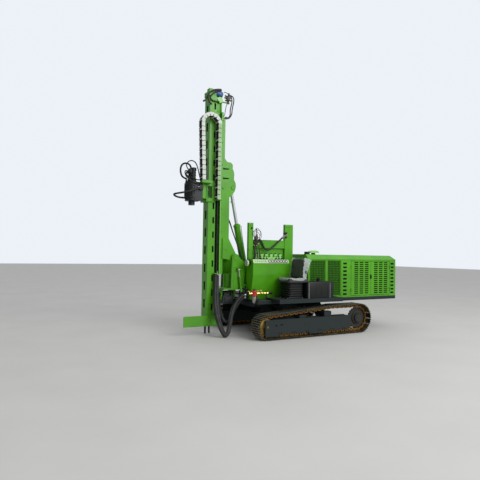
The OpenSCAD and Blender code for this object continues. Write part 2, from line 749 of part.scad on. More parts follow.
module tilt_pin() color(steel) {
    cross_rod(tilt_x, tilt_z, tilt_pin_r, -bracket_y[1] - 12, bracket_y[1] + 12);
    cross_rod(tilt_x, tilt_z, tilt_pin_r + 18, -bracket_y[1] - 12, -bracket_y[1] - seat_gap);
    cross_rod(tilt_x, tilt_z, tilt_pin_r + 18, bracket_y[1] + seat_gap, bracket_y[1] + 12);
}

// Rams lie along a line in the XZ plane from a foot to an eye
module along_ram(foot, eye, y) {
    translate([foot[0], y, foot[1]])
        rotate([0, atan2(eye[0] - foot[0], eye[1] - foot[1]), 0]) children();
}

module lean_barrel() color(body_green) {
    along_ram(lean_foot, lean_eye, lean_ram_y) difference() {
        cylinder(r = lean_barrel_r, h = 330);
        translate([0, 0, 60]) cylinder(r = lean_rod_r + run_gap, h = 300);
    }
    long_rod(lean_ram_y, lean_foot[1], 24, lean_foot[0] - 24, lean_foot[0] + 24);
    long_rod(lean_ram_y, lean_foot[1], lean_pin_r, lean_foot[0] - fork_in - fork_t,
        lean_foot[0] + fork_in + fork_t);
}

lean_length = norm(lean_eye - lean_foot);
module lean_rod() color(chrome) difference() {
    union() {
        along_ram(lean_foot, lean_eye, lean_ram_y)
            translate([0, 0, 130]) cylinder(r = lean_rod_r, h = lean_length - 130);
        long_rod(lean_ram_y, lean_eye[1], 21, lean_eye[0] - 22, lean_eye[0] + 22);
    }
    long_rod(lean_ram_y, lean_eye[1], 13, lean_eye[0] - 30, lean_eye[0] + 30);
}

tilt_foot_r = 30;
tilt_length = norm(tilt_eye - tilt_foot);
module tilt_barrel() color(body_green) {
    along_ram(tilt_foot, tilt_eye, 0) difference() {
        union() {
            translate([0, 0, 30]) cylinder(r1 = 50, r2 = tilt_barrel_r, h = 50);
            translate([0, 0, 80]) cylinder(r = tilt_barrel_r, h = tilt_barrel_l - 130);
            translate([0, 0, tilt_barrel_l - 50]) cylinder(r = tilt_barrel_r + 8, h = 50);
        }
        translate([0, 0, 110]) cylinder(r = tilt_rod_r + run_gap, h = tilt_barrel_l);
    }
    cross_rod(tilt_foot[0], tilt_foot[1], 52, -65, 65);
    cross_rod(tilt_foot[0], tilt_foot[1], tilt_foot_r, -105, 105);
}

// The rod's eye runs with its pin ends between the guide beam's two bosses
eye_half = 75;
rod_start = 880;
module tilt_rod() color(chrome) {
    along_ram(tilt_foot, tilt_eye, 0)
        translate([0, 0, rod_start]) cylinder(r = tilt_rod_r, h = tilt_length - rod_start);
    cross_rod(tilt_eye[0], tilt_eye[1], 48, -45, 45);
    cross_rod(tilt_eye[0], tilt_eye[1], 30, -eye_half, eye_half);
}

// Guide beam: a channel whose inner rails and front lips hold the leader's flange
guide_x = [1626, 1854];
guide_wall = 15;
guide_low = 1350;
guide_low_x = 1774;
guide_full_z = 1760;
guide_half = guide_w / 2;
flange_x = guide_x[1] - 24 - flange_t;
mouth_half = 55;
web_half = 45;

module guide_profile() difference() {
    translate([guide_x[0], -guide_half]) square([guide_x[1] - guide_x[0], guide_w]);
    translate([guide_x[0] + guide_wall, -guide_half + guide_wall])
        square([flange_x - 25 - guide_x[0] - guide_wall, guide_w - 2 * guide_wall]);
    translate([flange_x - 26, -flange_half + 25]) square([30, 2 * flange_half - 50]);
    translate([flange_x - run_gap, -flange_half - run_gap])
        square([flange_t + 2 * run_gap, 2 * (flange_half + run_gap)]);
    translate([flange_x + flange_t, -mouth_half]) square([40, 2 * mouth_half]);
}

plate_y = [100, 120];
back_plate = [
    [guide_x[0] + eps, tilt_eye[1] - 260], [1470, tilt_eye[1] - 130], [1440, tilt_eye[1] + 30],
    [1480, tilt_eye[1] + 310], [1540, tilt_eye[1] + 450], [guide_x[0] + eps, tilt_eye[1] + 490]
];
hose_bar_z = [guide_low + 2, guide_low + 18];
hose_bar_y = [60, 235];

module guide_beam() color(body_green) difference() {
    union() {
        translate([0, 0, guide_full_z]) linear_extrude(leader_top - guide_drop - guide_full_z) guide_profile();
        translate([0, 0, guide_low]) linear_extrude(guide_full_z + eps - guide_low) intersection() {
            guide_profile();
            translate([guide_low_x, -guide_half]) square([100, guide_w]);
        }
        both_sides() {
            // Lug down to the tilt pin, with its hub
            hull() {
                cross_rod(tilt_x, tilt_z, tilt_pin_r + 40, guide_half, guide_half + 25);
                block([guide_x[0] + 14, guide_half, tilt_z - 20], [1790, guide_half + 25, tilt_z + 430]);
            }
            cross_rod(tilt_x, tilt_z, tilt_pin_r + 30, guide_half + 24, bracket_y[0] - side_gap);
            // Back plate and boss for the tilt ram's eye
            side_plate(back_plate, plate_y[0], plate_y[1]);
            cross_rod(tilt_eye[0], tilt_eye[1], 50, eye_half + side_gap, plate_y[1] + 12);
        }
        // Bar at the foot that the hoses pass
        block([guide_x[1] - eps, hose_bar_y[0], hose_bar_z[0]],
            [leader_back - 20, hose_bar_y[1], hose_bar_z[1]]);
    }
    cross_rod(tilt_x, tilt_z, tilt_pin_r + run_gap, -300, 300);
}

// Leader: a slotted box on a rear web and flange that run in the guide beam
leader_back = leader_x - leader_d;
leader_half = leader_w / 2;
rail_low = 1400;
rail_high = leader_top - 330;
chain_fixed_z = 3000;
chain_moving_z = 3400;
shelf_z = [chain_fixed_z - 20, chain_fixed_z - seat_gap];

module leader() color(body_green) {
    difference() {
        block([leader_back, -leader_half, leader_z], [leader_x, leader_half, leader_top]);
        block([leader_back + leader_t, -leader_half + leader_t, leader_z + 30],
            [leader_x - leader_t, leader_half - leader_t, leader_top - 30]);
        for (z = [550 : side_pitch : leader_top - 250])
            block([leader_back + 22, -leader_half - 10, z],
                [leader_back + 64, leader_half + 10, z + 140]);
        for (z = [600 : face_pitch : leader_top - 350])
            block([leader_x - 30, -42, z], [leader_x + 10, 42, z + 190]);
    }
    block([flange_x + flange_t - eps, -web_half, rail_low], [leader_back + eps, web_half, rail_high]);
    block([flange_x, -flange_half, rail_low], [flange_x + flange_t, flange_half, rail_high]);
    // Shelf for the energy chain's fixed end and the hoses that come up to it
    block([chain_x[0] - 10, hose_bar_y[0], shelf_z[0]], [leader_back + eps, chain_y[1], shelf_z[1]]);
    block([leader_back, leader_half - eps, shelf_z[0]], [leader_back + 30, leader_half + 40, shelf_z[1]]);
}

module foot() color(body_green) {
    side_plate([
        [leader_back - 110, leader_z + 5], [leader_x + 535, leader_z + 5],
        [leader_x + 535, leader_z + 215], [leader_x + 515, leader_z + 235],
        [leader_back - 90, leader_z + 235], [leader_back - 110, leader_z + 215]
    ], leader_half + seat_gap, leader_half + 22);
    for (x = [leader_back + 38, leader_x - 38])
        translate([x, 0, 30]) cylinder(r = 18, h = leader_z - 30 - seat_gap);
}

module mast_head() color(body_green) {
    block([leader_back + 20, -leader_half, leader_top + seat_gap],
        [leader_x + 20, leader_half, leader_top + 110]);
    block([leader_back + 60, -60, leader_top + 110 - eps], [leader_back + 160, 60, leader_top + 190]);
}

feed_motor_z = leader_top + 90;
module feed_motor() color(motor_blue) {
    long_rod(0, feed_motor_z, 70, leader_back - 162, leader_back + 20 - seat_gap);
    long_rod(0, feed_motor_z, 85, leader_back - 5, leader_back + 20 - seat_gap);
}

module head_valves() color(steel) {
    block([leader_back - 342, 40, leader_top - 130], [leader_back - 262, 120, leader_top - 30]);
    block([leader_back - 263, 70, leader_top - 100], [leader_back - seat_gap, 90, leader_top - 70]);
}

// Energy chain: links from the shelf on the leader, over the bend, down to the carriage
chain_x = [leader_back - 87, leader_back - 87 + 2 * chain_bend_r];
chain_y = [leader_half + 16, leader_half + 16 + chain_w];
chain_bend_z = leader_top - chain_drop - chain_bend_r;
chain_up = chain_bend_z - chain_fixed_z;
chain_over = PI * chain_bend_r;
chain_length = chain_up + chain_over + chain_bend_z - chain_moving_z;
chain_links = round(chain_length / chain_pitch);
link_notch = 9;

// Point at a distance along the chain and a depth into it from its outer side
function chain_point(s, depth) =
    s < chain_up ? [chain_x[0] + depth, chain_fixed_z + s]
    : s < chain_up + chain_over
        ? on_arc(chain_x[0] + chain_bend_r, chain_bend_z, chain_bend_r,
            180 - (s - chain_up) / chain_over * 180, -depth)
    : [chain_x[1] - depth, chain_bend_z - (s - chain_up - chain_over)];
// Points of one link's side: share of the pitch, depth of the notch
link_side = [[0, 1], [0.1, 0], [0.5, 0], [0.9, 0]];

module energy_chain() color(steel) {
    p = chain_length / chain_links;
    side_plate(concat(
        [for (i = [0 : chain_links - 1], q = link_side) chain_point((i + q[0]) * p, q[1] * link_notch)],
        [chain_point(chain_length, 0), chain_point(chain_length, chain_d)],
        [for (i = [chain_links - 1 : -1 : 0], k = [3 : -1 : 0])
            chain_point((i + link_side[k][0]) * p, chain_d - link_side[k][1] * link_notch)]
    ), chain_y[0], chain_y[1]);
}

hose_line_x = leader_back - 54;
module channel_hoses() color(rubber)
    for (y = [75, 105, 135])
        translate([hose_line_x, y, hose_bar_z[1] + seat_gap])
            cylinder(r = 14, h = shelf_z[0] - hose_bar_z[1] - 2 * seat_gap);

// Carriage round the leader on wear pads, with the arm for the energy chain's moving end
carriage_z = [2950, 3420];
arm_y = leader_half + side_gap + 25;
pad_z = [carriage_z[0] + 20, carriage_z[1] - 110];
module carriage() color(body_green) {
    difference() {
        union() {
            block([leader_back + 38, -arm_y, carriage_z[0]], [leader_x + 60, arm_y, carriage_z[1]]);
            for (y = [-150, 130])
                block([leader_x + 60 - eps, y, carriage_z[0] + 60],
                    [leader_x + 150, y + 20, carriage_z[1] - 60]);
            block([leader_x - 20, arm_y - eps, chain_moving_z - 60],
                [chain_x[1], chain_y[1], chain_moving_z - seat_gap]);
        }
        block([leader_back, -leader_half - side_gap, carriage_z[0] - eps],
            [leader_x + side_gap, leader_half + side_gap, carriage_z[1] + eps]);
    }
    for (z = pad_z) {
        both_sides()
            block([leader_back + 60, leader_half + run_gap, z],
                [leader_x - 20, leader_half + side_gap + eps, z + 90]);
        block([leader_x + run_gap, -100, z], [leader_x + side_gap + eps, 100, z + 90]);
    }
}

spindle_x = leader_x + spindle_reach;
gear_r = 150;
gear_z = [carriage_z[0], carriage_z[0] + 420];
gear_port = [spindle_x - 90, 160, 3230];
tip_port = [spindle_x + gear_r + 18, -80, 3020];
top_port = [spindle_x + 105, -60, gear_z[1] + 35];
port_r = 21;

module drill_gearbox() color(black) difference() {
    union() {
        translate([spindle_x, 0, gear_z[0]]) cylinder(r = gear_r, h = gear_z[1] - gear_z[0]);
        translate([spindle_x, 0, gear_z[0] + 60]) cylinder(r = gear_r + 14, h = 40);
        translate([spindle_x, 0, gear_z[1] - 90]) cylinder(r = gear_r + 14, h = 40);
        block([leader_x + 150 + seat_gap, -gear_port[1], gear_z[0] + 10],
            [spindle_x, gear_port[1], gear_z[1] - 10]);
        cross_rod(gear_port[0], gear_port[2], port_r, gear_port[1] - eps, gear_port[1] + 25);
        long_rod(tip_port[1], tip_port[2], port_r, spindle_x + 60, tip_port[0]);
        translate([top_port[0], top_port[1], gear_z[1] - eps]) cylinder(r = port_r, h = 36);
    }
    translate([spindle_x, 0, gear_z[0] - 50]) cylinder(r = spindle_r - 20 + run_gap, h = 400);
}

motor_y = 75;
motor_top = gear_z[1] + 300;
module drill_motors() color(black)
    for (y = [-motor_y, motor_y])
        translate([spindle_x, y, gear_z[1] + seat_gap]) {
            cylinder(r = 65, h = 60);
            cylinder(r = 55, h = motor_top - gear_z[1] - 40);
            translate([0, 0, motor_top - gear_z[1] - 60]) cylinder(r = 65, h = 60);
        }

// Hoses that loop in front of the head, held at both ends
head_hose_r = 20;
head_routes = [
    [[2387, 185.3, 3230], [2387, 200, 3230], [2396, 226, 3224], [2424, 244, 3210], [2500, 258, 3178], [2610, 246, 3138],
        [2720, 205, 3106], [2815, 138, 3088], [2864, 62, 3080], [2880, 0, 3074], [2866, -48, 3062],
        [2825, -76, 3044], [2760, -82, 3026], [2700, -80, 3020], [2660, -80, 3020], [2645.3, -80, 3020]],
    [[2477, -75, 3670.6], [2477, -75, 3690], [2480, -76, 3714], [2498, -80, 3752], [2540, -84, 3782], [2600, -86, 3788],
        [2660, -86, 3766], [2700, -84, 3715], [2718, -80, 3640], [2712, -75, 3560], [2686, -69, 3495],
        [2640, -64, 3458], [2600, -61, 3446], [2582, -60, 3430], [2582, -60, 3405.3]]
];
module head_hoses() color(rubber)
    for (route = head_routes) hose(route, head_hose_r, 10);

module spindle() color(steel) difference() {
    union() {
        translate([spindle_x, 0, spindle_z]) cylinder(r = spindle_r, h = carriage_z[0] - 5 - spindle_z);
        translate([spindle_x, 0, spindle_z + 60]) cylinder(r = spindle_r - 20, h = 325);
    }
    translate([spindle_x, 0, spindle_z - 1]) cylinder(r = socket_r, h = 61);
}

clamp_x = [1262, 1318];
module hose_clamp() color(frame_dark) {
    block([clamp_x[0], bracket_y[1] + seat_gap, bracket_base], [clamp_x[1], 460, bracket_base + 25]);
    block([clamp_x[0], 390, 795], [clamp_x[1], 460, bracket_base + eps]);
}

// Free hoses between the bar at the guide beam's foot and the clamp on the bracket
hose_r = 28;
near_route = [
    [1905, 200, 1351.7], [1905, 200, 1300], [1913, 218, 1160], [1935, 262, 970], [1960, 320, 780],
    [1972, 380, 600], [1966, 435, 440], [1943, 482, 300], [1910, 517, 180], [1872, 538, 95],
    [1830, 545, 52], [1787, 536, 80], [1745, 516, 165], [1708, 491, 280], [1672, 466, 410],
    [1630, 444, 550], [1572, 428, 680], [1492, 420, 790], [1410, 422, 864], [1362, 425, 887],
    [1340, 425, 890], [clamp_x[1] + seat_gap, 425, 890]
];
far_route = [
    [1905, 140, 1351.7], [1905, 140, 1300], [1903, 152, 1150], [1895, 185, 960], [1884, 225, 770],
    [1864, 262, 590], [1832, 293, 440], [1785, 320, 338], [1730, 339, 302], [1672, 350, 332],
    [1621, 362, 425], [1568, 380, 550], [1500, 400, 672], [1430, 415, 770], [1372, 424, 818],
    [1342, 425, 830], [clamp_x[1] + seat_gap, 425, 830]
];

function ring_axes(direction) =
    let (side = cross(direction, [0, 1, 0.01]), n = side / norm(side))
    [n, cross(direction, n)];
function hose_points(route, r, sides) = [
    for (i = [0 : len(route) - 1])
        let (
            ahead = route[min(i + 1, len(route) - 1)] - route[max(i - 1, 0)],
            axes = ring_axes(ahead / norm(ahead))
        )
        for (k = [0 : sides - 1])
            route[i] + r * (cos(k * 360 / sides) * axes[0] + sin(k * 360 / sides) * axes[1])
];
module hose(route, r, sides) {
    n = len(route);
    polyhedron(
        points = hose_points(route, r, sides),
        faces = concat(
            [[for (k = [0 : sides - 1]) k]],
            [for (i = [0 : n - 2], k = [0 : sides - 1]) [
                i * sides + k, (i + 1) * sides + k,
                (i + 1) * sides + (k + 1) % sides, i * sides + (k + 1) % sides
            ]],
            [[for (k = [sides - 1 : -1 : 0]) (n - 1) * sides + k]]
        )
    );
}

module hose_loop_near() color(rubber) hose(near_route, hose_r, 10);
module hose_loop_far() color(rubber) hose(far_route, hose_r, 10);

track_left();
track_right();
track_frame_left();
track_frame_right();
idler_left();
idler_right();
sprocket_left();
sprocket_right();
centre_frame();
deck_frame();
side_platforms();
pivot_housing();
hood_shell();
hood_mesh();
door_left_front();
door_left_rear();
door_right_front();
door_right_rear();
engine_block();
cooler();
exhaust();
console();
console_controls();
work_lamp();
seat_base();
seat();
fuel_tank();
oil_tank();
air_lubricator();
hose_frame();
valve_bank();
post_valve();
frame_hose();
bracket();
lean_shaft();
tilt_pin();
lean_barrel();
lean_rod();
tilt_barrel();
tilt_rod();
guide_beam();
leader();
foot();
mast_head();
feed_motor();
head_valves();
energy_chain();
channel_hoses();
carriage();
drill_gearbox();
drill_motors();
head_hoses();
spindle();
hose_clamp();
hose_loop_near();
hose_loop_far();
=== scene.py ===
import json
from math import acos, atan2, cos, exp, hypot, pi, radians, sin, sqrt

import bmesh
import bpy
from mathutils import Matrix, Vector


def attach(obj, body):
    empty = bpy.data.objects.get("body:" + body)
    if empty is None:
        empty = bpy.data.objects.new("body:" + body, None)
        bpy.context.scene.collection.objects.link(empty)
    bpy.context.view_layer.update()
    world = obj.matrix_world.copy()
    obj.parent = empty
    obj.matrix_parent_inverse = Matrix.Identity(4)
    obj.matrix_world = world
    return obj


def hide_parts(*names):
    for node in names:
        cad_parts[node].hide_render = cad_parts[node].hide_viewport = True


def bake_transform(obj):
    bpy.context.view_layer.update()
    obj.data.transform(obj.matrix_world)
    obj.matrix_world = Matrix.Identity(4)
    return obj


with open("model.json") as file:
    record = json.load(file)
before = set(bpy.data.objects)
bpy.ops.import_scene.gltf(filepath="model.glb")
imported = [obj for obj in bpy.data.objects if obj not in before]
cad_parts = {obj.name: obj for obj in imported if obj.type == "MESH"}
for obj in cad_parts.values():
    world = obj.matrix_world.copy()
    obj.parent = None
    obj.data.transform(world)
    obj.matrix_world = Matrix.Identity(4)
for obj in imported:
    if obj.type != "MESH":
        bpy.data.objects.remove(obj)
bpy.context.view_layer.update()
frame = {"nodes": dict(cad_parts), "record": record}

bl_info = {
    "name": "Crawler pile driver rig",
    "version": (1, 0, 0),
    "blender": (4, 5, 0),
    "location": "3D View > Sidebar > Rig",
    "description": "Dresses the rig's CAD model with its finishes, hoses, chain, seat, valves and fasteners",
    "category": "Object",
}

NODES = frame["nodes"]
X, Y, Z = Vector((1, 0, 0)), Vector((0, 1, 0)), Vector((0, 0, 1))

NEAR_ROUTE = [
    (1.905, 0.2, 1.3517), (1.905, 0.2, 1.3), (1.913, 0.218, 1.16), (1.935, 0.262, 0.97), (1.96, 0.32, 0.78),
    (1.972, 0.38, 0.6), (1.966, 0.435, 0.44), (1.943, 0.482, 0.3), (1.91, 0.517, 0.18), (1.872, 0.538, 0.095),
    (1.83, 0.545, 0.052), (1.787, 0.536, 0.08), (1.745, 0.516, 0.165), (1.708, 0.491, 0.28), (1.672, 0.466, 0.41),
    (1.63, 0.444, 0.55), (1.572, 0.428, 0.68), (1.492, 0.42, 0.79), (1.41, 0.422, 0.864), (1.362, 0.425, 0.887),
    (1.34, 0.425, 0.89), (1.3183, 0.425, 0.89),
]
FAR_ROUTE = [
    (1.905, 0.14, 1.3517), (1.905, 0.14, 1.3), (1.903, 0.152, 1.15), (1.895, 0.185, 0.96), (1.884, 0.225, 0.77),
    (1.864, 0.262, 0.59), (1.832, 0.293, 0.44), (1.785, 0.32, 0.338), (1.73, 0.339, 0.302), (1.672, 0.35, 0.332),
    (1.621, 0.362, 0.425), (1.568, 0.38, 0.55), (1.5, 0.4, 0.672), (1.43, 0.415, 0.77), (1.372, 0.424, 0.818),
    (1.342, 0.425, 0.83), (1.3183, 0.425, 0.83),
]
FRAME_ROUTE = [
    (0.9997, 0.43, 2.13), (0.972, 0.43, 2.13), (0.935, 0.431, 2.108), (0.9, 0.432, 2.05), (0.87, 0.433, 1.985),
    (0.83, 0.433, 1.93), (0.78, 0.433, 1.908), (0.72, 0.433, 1.915), (0.65, 0.434, 1.95), (0.57, 0.435, 2.01),
    (0.49, 0.436, 2.08), (0.41, 0.437, 2.15), (0.34, 0.437, 2.206), (0.285, 0.434, 2.24), (0.245, 0.428, 2.254),
    (0.235, 0.422, 2.256), (0.235, 0.4053, 2.256),
]
HEAD_ROUTES = [
    [(2.387, 0.1853, 3.23), (2.387, 0.2, 3.23), (2.396, 0.226, 3.224), (2.424, 0.244, 3.21), (2.5, 0.258, 3.178),
        (2.61, 0.246, 3.138), (2.72, 0.205, 3.106), (2.815, 0.138, 3.088), (2.864, 0.062, 3.08), (2.88, 0, 3.074),
        (2.866, -0.048, 3.062), (2.825, -0.076, 3.044), (2.76, -0.082, 3.026), (2.7, -0.08, 3.02), (2.66, -0.08, 3.02),
        (2.6453, -0.08, 3.02)],
    [(2.477, -0.075, 3.6706), (2.477, -0.075, 3.69), (2.48, -0.076, 3.714), (2.498, -0.08, 3.752),
        (2.54, -0.084, 3.782), (2.6, -0.086, 3.788), (2.66, -0.086, 3.766), (2.7, -0.084, 3.715), (2.718, -0.08, 3.64),
        (2.712, -0.075, 3.56), (2.686, -0.069, 3.495), (2.64, -0.064, 3.458), (2.6, -0.061, 3.446),
        (2.582, -0.06, 3.43), (2.582, -0.06, 3.4053)],
]


# Shader nodes

def add(tree, kind, inputs=None, **settings):
    """Adds a node, sets it up and links or fills its sockets."""
    n = tree.nodes.new(kind)
    for key, value in settings.items():
        setattr(n, key, value)
    for key, value in (inputs or {}).items():
        if isinstance(value, bpy.types.NodeSocket):
            tree.links.new(value, n.inputs[key])
        else:
            n.inputs[key].default_value = value
    return n


def rgb(colour, k=1.0):
    return tuple(min(1, c * k) for c in colour[:3]) + (1.0,)


def mix(t, fac, a, b, blend="MIX"):
    n = add(t, "ShaderNodeMix", data_type="RGBA", blend_type=blend)
    for i, v in ((0, fac), (6, a), (7, b)):
        if isinstance(v, bpy.types.NodeSocket):
            t.links.new(v, n.inputs[i])
        else:
            n.inputs[i].default_value = v
    return n.outputs[2]


def noise(t, vector, scale, detail=3.0, rough=0.55):
    return add(t, "ShaderNodeTexNoise", {"Vector": vector, "Scale": scale, "Detail": detail,
        "Roughness": rough}).outputs["Fac"]


def remap(t, value, lo, hi, a=0.0, b=1.0):
    return add(t, "ShaderNodeMapRange", {"Value": value, "From Min": lo, "From Max": hi, "To Min": a,
        "To Max": b}).outputs["Result"]


def times(t, a, b, operation="MULTIPLY"):
    return add(t, "ShaderNodeMath", {0: a, 1: b}, operation=operation).outputs[0]


def blank(name, colour, rough, metallic=0.0, level=0.5, **fixed):
    """A material with its node tree, its shader and its Object coordinates."""
    m = bpy.data.materials.new(name)
    m.use_nodes = True
    m.diffuse_color = rgb(colour)
    t = m.node_tree
    s = t.nodes["Principled BSDF"]
    s.inputs["Base Color"].default_value = rgb(colour)
    s.inputs["Roughness"].default_value = rough
    s.inputs["Metallic"].default_value = metallic
    s.inputs["Specular IOR Level"].default_value = level
    for key, value in fixed.items():
        s.inputs[key.replace("_", " ")].default_value = value
    at = add(t, "ShaderNodeTexCoord").outputs["Object"]
    return m, t, s, at


def surface(t, s, tone, shine, height, strength, distance, normal=None):
    """Links tone and shine to the shader, and a bump from the height."""
    for key, value in (("Base Color", tone), ("Roughness", shine)):
        if value:
            t.links.new(value, s.inputs[key])
    fed = {"Strength": strength, "Distance": distance, "Height": height}
    if normal:
        fed["Normal"] = normal
    t.links.new(add(t, "ShaderNodeBump", fed).outputs[0], s.inputs["Normal"])


def enamel(name, colour, rough=0.35, dust=0.25, wear=0.5, bare=(0.3, 0.3, 0.29), grain=0.03, soil=(0.34, 0.32, 0.27),
        metallic=0.0, edge=0.004, streak=0.3, low=0.0, reach=(0.9, 0.05), **fixed):
    """Paint on steel or a cast or moulded skin: uneven tone, rain streaks, a second tone on what faces up and near the
    ground (dust on most finishes, near black on the yellow paint, which goes darker towards the bottom), rubbed edges
    and a fine grain."""
    m, t, s, at = blank(name, colour, rough, metallic, **fixed)
    broad = noise(t, at, 1.7, 3)
    fine = noise(t, at, 38, 5, 0.65)
    runs = noise(t, add(t, "ShaderNodeMapping", {"Vector": at, "Scale": (14, 14, 0.9)}).outputs[0], 1.0, 4)
    tone = mix(t, remap(t, broad, 0.35, 0.65), rgb(colour, 0.88), rgb(colour, 1.12))
    tone = mix(t, times(t, remap(t, runs, 0.52, 0.75), streak), tone,
        rgb([c * 0.5 + d * 0.12 for c, d in zip(colour, soil)]))
    normal = add(t, "ShaderNodeNewGeometry").outputs["Normal"]
    up = remap(t, add(t, "ShaderNodeSeparateXYZ", {0: normal}).outputs["Z"], 0.45, 0.95)
    height = add(t, "ShaderNodeSeparateXYZ", {0: at}).outputs["Z"]
    near = times(t, remap(t, height, *reach), low)
    dusty = times(t, times(t, times(t, up, dust), near, "MAXIMUM"), remap(t, fine, 0.3, 0.7, 0.35, 1.0))
    tone = mix(t, dusty, tone, rgb(soil))
    bevel = add(t, "ShaderNodeBevel", {"Radius": edge}, samples=4).outputs["Normal"]
    turn = add(t, "ShaderNodeVectorMath", {0: bevel, 1: normal}, operation="DOT_PRODUCT").outputs["Value"]
    rub = times(t, times(t, remap(t, turn, 0.97, 0.8), remap(t, fine, 0.5, 0.6)), wear)
    tone = mix(t, rub, tone, rgb(bare))
    shine = times(t, remap(t, fine, 0.25, 0.75, rough * 0.8, rough * 1.3), times(t, dusty, 0.4), "ADD")
    rise = times(t, noise(t, at, 240, 2), times(t, fine, 0.5), "ADD")
    surface(t, s, tone, shine, rise, grain * 5, 0.001, bevel)
    return m


def shoe_steel(name, dark, bright, rust, key="wear_and_highlight"):
    """Steel of a track: dull and stained in its valleys, rubbed bright where the attribute is high; on the links the
    attribute also sets a painted highlight on the rails' outer faces and leaves their recessed side bars dark as
    painted shade.
    """
    m, t, s, at = blank(name, dark, 0.6, 0.0, level=0.25)
    wear_and_highlight = add(t, "ShaderNodeAttribute", attribute_name=key).outputs["Fac"]
    fine, broad = noise(t, at, 45, 5, 0.7), noise(t, at, 7, 4)
    base = mix(t, remap(t, broad, 0.42, 0.62), rgb(dark), rgb(rust))
    base = mix(t, remap(t, fine, 0.55, 0.8, 0, 0.6), base, rgb(dark, 0.5))
    # Bright where rubbed, and on the links' outer faces a painted highlight
    rub_and_highlight = times(t, remap(t, wear_and_highlight, 0.35, 0.95), remap(t, fine, 0.35, 0.55, 0.35, 1.0))
    t.links.new(times(t, rub_and_highlight, 0.75), s.inputs["Metallic"])
    surface(t, s, mix(t, rub_and_highlight, base, rgb(bright)), remap(t, rub_and_highlight, 0, 1, 0.78, 0.38), fine, 0.5, 0.002)
    return m


def metal(name, colour, rough=0.25, stain=(0.2, 0.16, 0.1), stained=0.3, scale=60, metallic=1.0, **fixed):
    """Plated, brushed or brass metal with stains and fine marks."""
    m, t, s, at = blank(name, colour, rough, metallic, **fixed)
    fine, broad = noise(t, at, scale * 4, 4, 0.6), noise(t, at, scale * 0.4, 4)
    surface(t, s, mix(t, remap(t, broad, 0.5, 0.8, 0, stained), rgb(colour), rgb(stain)),
        remap(t, fine, 0.3, 0.7, rough * 0.7, rough * 1.5), fine, 0.08, 0.0005)
    return m


def rubber(name, colour, rough=0.55, ring=0.0, dust=0.3, pale=(0.2, 0.2, 0.19), **fixed):
    """Hose or bellows rubber, dusty, with fine wrap marks."""
    m, t, s, at = blank(name, colour, rough, **fixed)
    fine, broad = noise(t, at, 90, 4, 0.6), noise(t, at, 9, 4)
    tone = mix(t, remap(t, broad, 0.4, 0.75, 0, dust), rgb(colour), rgb(pale))
    shine, rise = remap(t, fine, 0.3, 0.7, rough * 0.8, rough * 1.25), fine
    if ring:
        wave = add(t, "ShaderNodeTexWave", {"Vector": at, "Scale": ring, "Distortion": 0.6}, bands_direction="Z")
        rise = times(t, wave.outputs["Fac"], fine, "ADD")
    surface(t, s, tone, shine, rise, 0.25, 0.0012)
    return m


def vinyl(name, colour, rough=0.42):
    """Seat vinyl with a leather grain."""
    m, t, s, at = blank(name, colour, rough, Sheen_Weight=0.1, level=0.35)
    cells = add(t, "ShaderNodeTexVoronoi", {"Vector": at, "Scale": 260.0}, feature="DISTANCE_TO_EDGE").outputs[0]
    broad = noise(t, at, 6, 4)
    surface(t, s, mix(t, remap(t, broad, 0.35, 0.7), rgb(colour, 0.8), rgb(colour, 1.5)),
        remap(t, broad, 0.3, 0.7, rough * 0.85, rough * 1.3), remap(t, cells, 0, 0.12), 0.35, 0.0006)
    return m


def film(name, colour, alpha):
    """Thin packing film, milky and crumpled, its tone darker in the creases and lighter on the crests as painted shade
    and highlight.
    """
    m, t, s, at = blank(name, colour, 0.22, 0.0, Alpha=alpha, Coat_Weight=0.6)
    crease_and_shade = add(t, "ShaderNodeTexNoise", {"Vector": at, "Scale": 16.0, "Detail": 4.0,
        "Distortion": 1.4}).outputs["Fac"]
    # The crease pattern that bumps the film also darkens its hollows and lightens its crests: painted shade and
    # highlight
    surface(t, s, mix(t, remap(t, crease_and_shade, 0.35, 0.65), rgb(colour, 0.8), rgb(colour, 1.1)), None, crease_and_shade, 0.9, 0.012)
    return m


def clear(name, colour, rough, **fixed):
    """Clear or tinted plastic with faint swirls."""
    m, t, s, at = blank(name, colour, rough, **fixed)
    swirl = noise(t, at, 30, 3)
    t.links.new(mix(t, swirl, rgb(colour, 0.9), rgb(colour, 1.05)), s.inputs["Base Color"])
    t.links.new(remap(t, swirl, 0.3, 0.7, rough, rough * 2 + 0.03), s.inputs["Roughness"])
    return m


FINISH = {}


